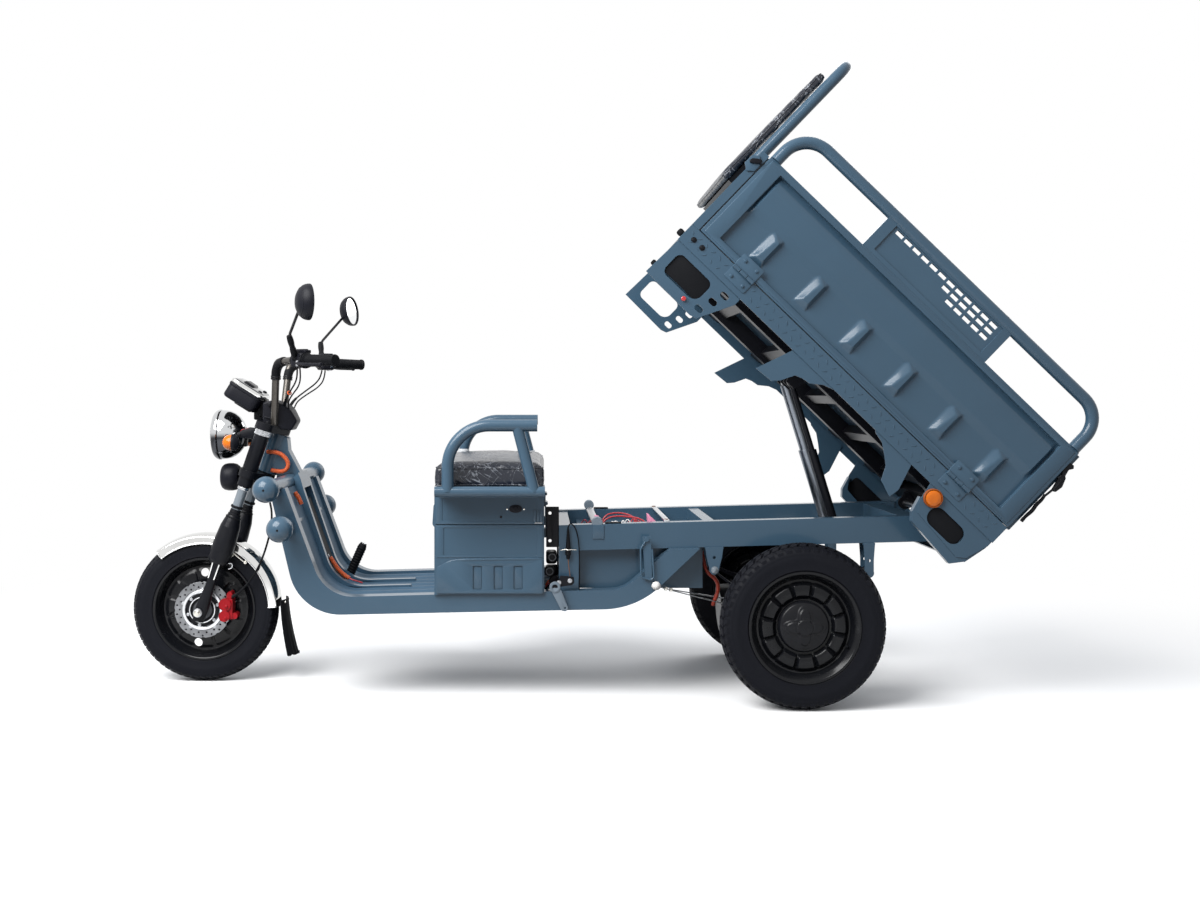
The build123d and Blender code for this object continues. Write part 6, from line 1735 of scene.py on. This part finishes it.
def build_parking_parts():
    """Parking lever with its hub ring, the cable boot on the post and the cable's loop."""
    arm = prism(rounded([(30, 352), (62, 352), (87, 290), (80, 280), (66, 282)], [14, 14, 6, 6, 6], 8), 324, 331, 1.2,
        [circle(77, 290, 3.2, 16)])
    arm2 = prism(circle(46, 354, 17, 40), 322, 333, 1.2, [circle(46, 354, 8.6, 32)])
    plate = prism(rounded([(52, 352), (98, 358), (106, 366), (104, 384), (62, 388)], 5), 312, 315, 0.6)
    stub = set_in(lathe([(0, 0), (8.4, 0), (8.4, 14), (7.4, 15), (0, 15)], 28), move(46, 354, 312))
    made = part("parking_lever_arm", [arm, arm2], PRIMER, "chassis", NEAR)
    hole = prism(box_outline(19, 59, 470, 596, 3), 265, 270, 0.8, [circle(31, 490, 5, 20), circle(31, 576, 5, 20)])
    part("front_hole_plate", hole, BLACK, "chassis", NEAR)
    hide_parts("parking_lever")
    part("parking_lever_shaft", [stub, plate], BLACK, "chassis", NEAR)
    copies("parking_lever_bolts", bolt_head(4.4, 3.5), [move(92, 372, 315), move(58, 366, 315)], STEEL, "chassis",
        NEAR)
    boot = [(0, 0), (9, 0), (9.5, 3), (8.4, 5), (9, 10)]
    boot += [(8.6 - 0.3 * k - 0.9 * (k % 2), 14 + 4 * k) for k in range(15)] + [(3, 80), (2.2, 86), (0, 86)]
    part("cable_boot",
        [set_in(lathe(boot, 24), move(87, -291, 448)),
            set_in(lathe([(0, -12), (5, -12), (6, -8), (6, 0), (0, 0)], 20), move(87, -291, 448))], RUBBER, "chassis")
    cord("parking_cable", [(87, -291, 528), (88, -291, 540), (96, -291, 546), (108, -291, 536), (116, -291, 512),
            (121, -291, 480), (122, -291, 430), (122, -291, 380), (121, -289, 345), (124, -270, 320)], 1.9, RUBBER,
        "chassis", 10, 8)
    cord("parking_cable_low", [(87, -291, 438), (88, -291, 420), (91, -291, 400), (93, -291, 384), (93, -296, 372)],
        1.3, RUST, "chassis", 8, 8)
    clip = pipe(spline_points([(64, -290, 463), (74, -295, 466), (87, -301, 465), (100, -295, 466), (112, -290, 464)],
            5), 1.6, 8)
    part("cable_boot_clip", clip, ZINC, "chassis")
    block = [set_in(brick(34, 60, 40, 8), move(36, -200, 432)), set_in(brick(40, 46, 34, 8), move(38, -190, 388))]
    block += [set_in(eased(0, 17, 0, 22, 2, 2), outward(x, -226, z, -1)) for x,
        z in ((38, 436), (30, 392), (46, 362))]
    part("parking_mechanism", block, BLACK, "chassis")
    part("mechanism_rings",
        [set_in(lathe([(9, 0), (12, 0), (12, 4), (9, 4)], 28, closed=True), outward(x, -248, z, -1)) for x,
            z in ((38, 436), (30, 392))], CAST, "chassis")
    for number, (z, finish_of) in enumerate(((352, LEAD), (360, CONDUIT), (345, RUBBER))):
        cord("mechanism_lead_%d" % number, [(18, -236, z - 12), (26, -242, z + 6), (40, -240, z - 2),
                (52, -232, z + 8), (58, -222, z - 6)], 2.4, finish_of, "chassis", 8, 8)


def build_rail_parts():
    """What lies on the ladder frame: rest tube ends, rubber pads, hold-down bar, foam and leads."""
    discs = []
    for side, x, z in ((-1, 178, 548), (1, 172, 556)):
        discs.append(set_in(lathe([(0, 0), (15, 0), (17, 1.5), (17, 22), (15.5, 23.5), (0, 23)], 40),
                outward(x, side * 259, z, side)))
    part("rest_tube_ends", discs, PRIMER, "chassis")
    for side in (-1, 1):
        part("rest_tube_tab_" + ("left" if side < 0 else "right"),
            prism(box_outline(163, 199, 497, 541, 2), 279.5, 283, 0.8), PAINT, "chassis", MM @ walled(side))
    pads = [set_in(brick(50, 22, 4.4, 1.5), move(228 if side < 0 else 214, side * 266, rail_top(226) + 2))
        for side in (-1, 1)]
    part("rail_pads", pads, RUBBER, "chassis")
    bar = set_in(brick(17, 500, 5, 1), move(397, 0, rail_top(397) + 3))
    lips = [set_in(brick(17, 5, 22, 1), move(397, side * 248, rail_top(397) - 6)) for side in (-1, 1)]
    part("battery_bar", [bar] + lips, BRIGHT, "chassis")
    copies("battery_bar_bolts", bolt_head(6, 1.8, False),
        [move(397, side * 236, rail_top(397) + 5.4) for side in (-1, 1)], RUST, "chassis")
    foam = prism(rounded([(343, 566), (346, 512), (384, 512), (374, 536)], 3), 118, 196, 3)
    part("battery_foam", foam, PINK, "chassis", NEAR)
    small = prism(rounded([(176, 556), (180, 520), (196, 520), (190, 552)], 3), 96, 130, 2)
    part("battery_foam_small", small, PINK, "chassis", NEAR)
    random.seed(7)
    for number, (x, y, finish_of, count) in enumerate(((214, -196, WHITE_LEAD, 7), (222, -178, WHITE_LEAD, 6),
                (262, -188, LEAD, 6), (120, -168, LEAD, 4), (276, -170, LEAD, 5), (152, -176, LEAD, 4))):
        points = [(x, y, 509)]
        for k in range(count):
            points.append((x + 9 + 11 * k + random.uniform(-4, 4), y + random.uniform(-14, 14),
                    534 + (15 if k % 2 else -4) + random.uniform(-6, 6)))
        points.append((points[-1][0] + 10, y, 509))
        cord("frame_lead_%d" % number, points, 1.7, finish_of, "chassis", 10, 8)


def build_brake_rods():
    """Equaliser knob, pull rods and the wiring tube before the rear wheel."""
    knob = lathe([(0, -14), (8, -12), (13, -5), (13.6, 3), (10, 10), (5, 14), (0, 14.5)], 28)
    part("equaliser_knob", set_in(knob, aim((357, -318, 357), (375, -316, 351))), WHITE_LEAD, "chassis")
    rods = [pipe([Vector((380, -296, 346)).lerp(Vector(end), k / 8) for k in range(9)], 1.9, 8)
        for end in ((590, -214, 283), (585, -200, 300))]
    part("pull_rods", rods, STEEL, "chassis")
    nut = lathe([(2, 0), (6.5, 0), (6.5, 7), (2, 7)], 6, closed=True)
    copies("pull_rod_nuts", nut,
        [aim((386 + 16 * k, -294 + 5 * k, 345 - 4 * k), (402 + 16 * k, -289 + 5 * k, 341 - 4 * k)) for k in range(2)],
        ZINC, "chassis")
    cord("rear_conduit", [(512, -218, 452), (514, -218, 430), (519, -218, 402), (534, -218, 378), (552, -218, 366),
            (562, -218, 346), (560, -218, 320), (550, -216, 296), (546, -210, 280)], 6.5, RED_CONDUIT, "chassis", 36,
        12, ribbed(6.6, 0.8, 40))
    bolts = [outward(541, side * 292, 402, side) for side in (-1, 1)]
    copies("hanger_bolts", bolt_head(7, 6), bolts, STEEL_GREY, "chassis")


RED_CONDUIT = finish("dark red conduit", (0.30, 0.030, 0.014), 0.4, drift=0.2, dust=0.05, specular=0.3)
build_footboard()
build_parking_parts()
build_rail_parts()
build_brake_rods()


# ---- lamps and toggles at the tail ----
def build_tail_lamps():
    for side, word in SIDES:
        place = BED_MM @ walled(side)
        lens = lathe([(0, 485.6), (9, 485.4), (17, 484.4), (22, 482.6), (24.4, 479.5), (24.6, 471), (0, 471)], 48)
        ribs = [lathe([(r, 484.6 - r * 0.05), (r + 1.2, 485.8 - r * 0.08), (r + 2.4, 484.4 - r * 0.05),
                (r + 1.2, 483)], 48, closed=True) for r in (6, 12)]
        made = part("side_lamp_" + word, set_in(joined([lens] + ribs), move(1046, -90, 0)), AMBER, "bed", place)
        if side < 0:
            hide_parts("bed_lamps")
        rim = lathe([(24.6, 471), (28.6, 471), (28.6, 479), (27.4, 482), (25.4, 482.4), (24.6, 480)], 48, closed=True)
        part("side_lamp_rim_" + word, set_in(rim, move(1046, -90, 0)), DARK_AMBER, "bed", place)
    across = BED_MM @ ACROSS
    for name, low, high, finish_of in (("stop", 321, 366, RED_LENS), ("turn", 368, 396, AMBER),
            ("clear", 398, 421, GLASS)):
        lenses = [prism(box_outline(*sorted((side * low, side * high)), -78, -50, 3), 1262, 1271, 2)
            for side in (-1, 1)]
        part("tail_lamp_" + name, lenses, finish_of, "bed", across)
    backs = [prism(box_outline(*sorted((side * 317, side * 425)), -82, -46, 4), 1259, 1264, 1) for side in (-1, 1)]
    part("tail_lamp_backs", backs, PLASTIC, "bed", across)


def build_gate_toggles():
    """Over-centre toggles with their rubber straps at both ends of the tailgate."""
    for side, word in SIDES:
        place = BED_MM @ walled(side)
        plates = [prism(rounded([(1266, 268), (1266, 236), (1276, 222), (1284, 226), (1278, 250), (1286, 262),
                (1280, 270)], 3), 458, 472, 1),
            prism(rounded([(1276, 236), (1290, 226), (1300, 200), (1296, 176), (1284, 170), (1278, 196), (1272, 212)],
                5), 460, 470, 1.5)]
        wire = [pipe(spline_points([(1282, 214, y), (1287, 190, y), (1284, 160, y), (1281, 142, y)], 5), 1.8, 8)
            for y in (459, 471)]
        part("gate_toggle_" + word, plates + wire, BLACK, "tailgate", place)
        strap = pipe(spline_points([(1280, 150, 465), (1284, 132, 465), (1281, 112, 465), (1286, 88, 465),
                (1282, 62, 465), (1284, 44, 465)], 6), 5, 14,
            swell=lambda share: 4.4 + 1.4 * sin(pi * share) + (0.8 if share > 0.9 else 0))
        part("gate_strap_" + word, strap, RUBBER, "tailgate", place)


DARK_AMBER = finish("dark amber rim", (0.30, 0.07, 0.01), 0.3, drift=0.2, dust=0.1, edge=0.0, specular=0.2)
build_tail_lamps()
build_gate_toggles()
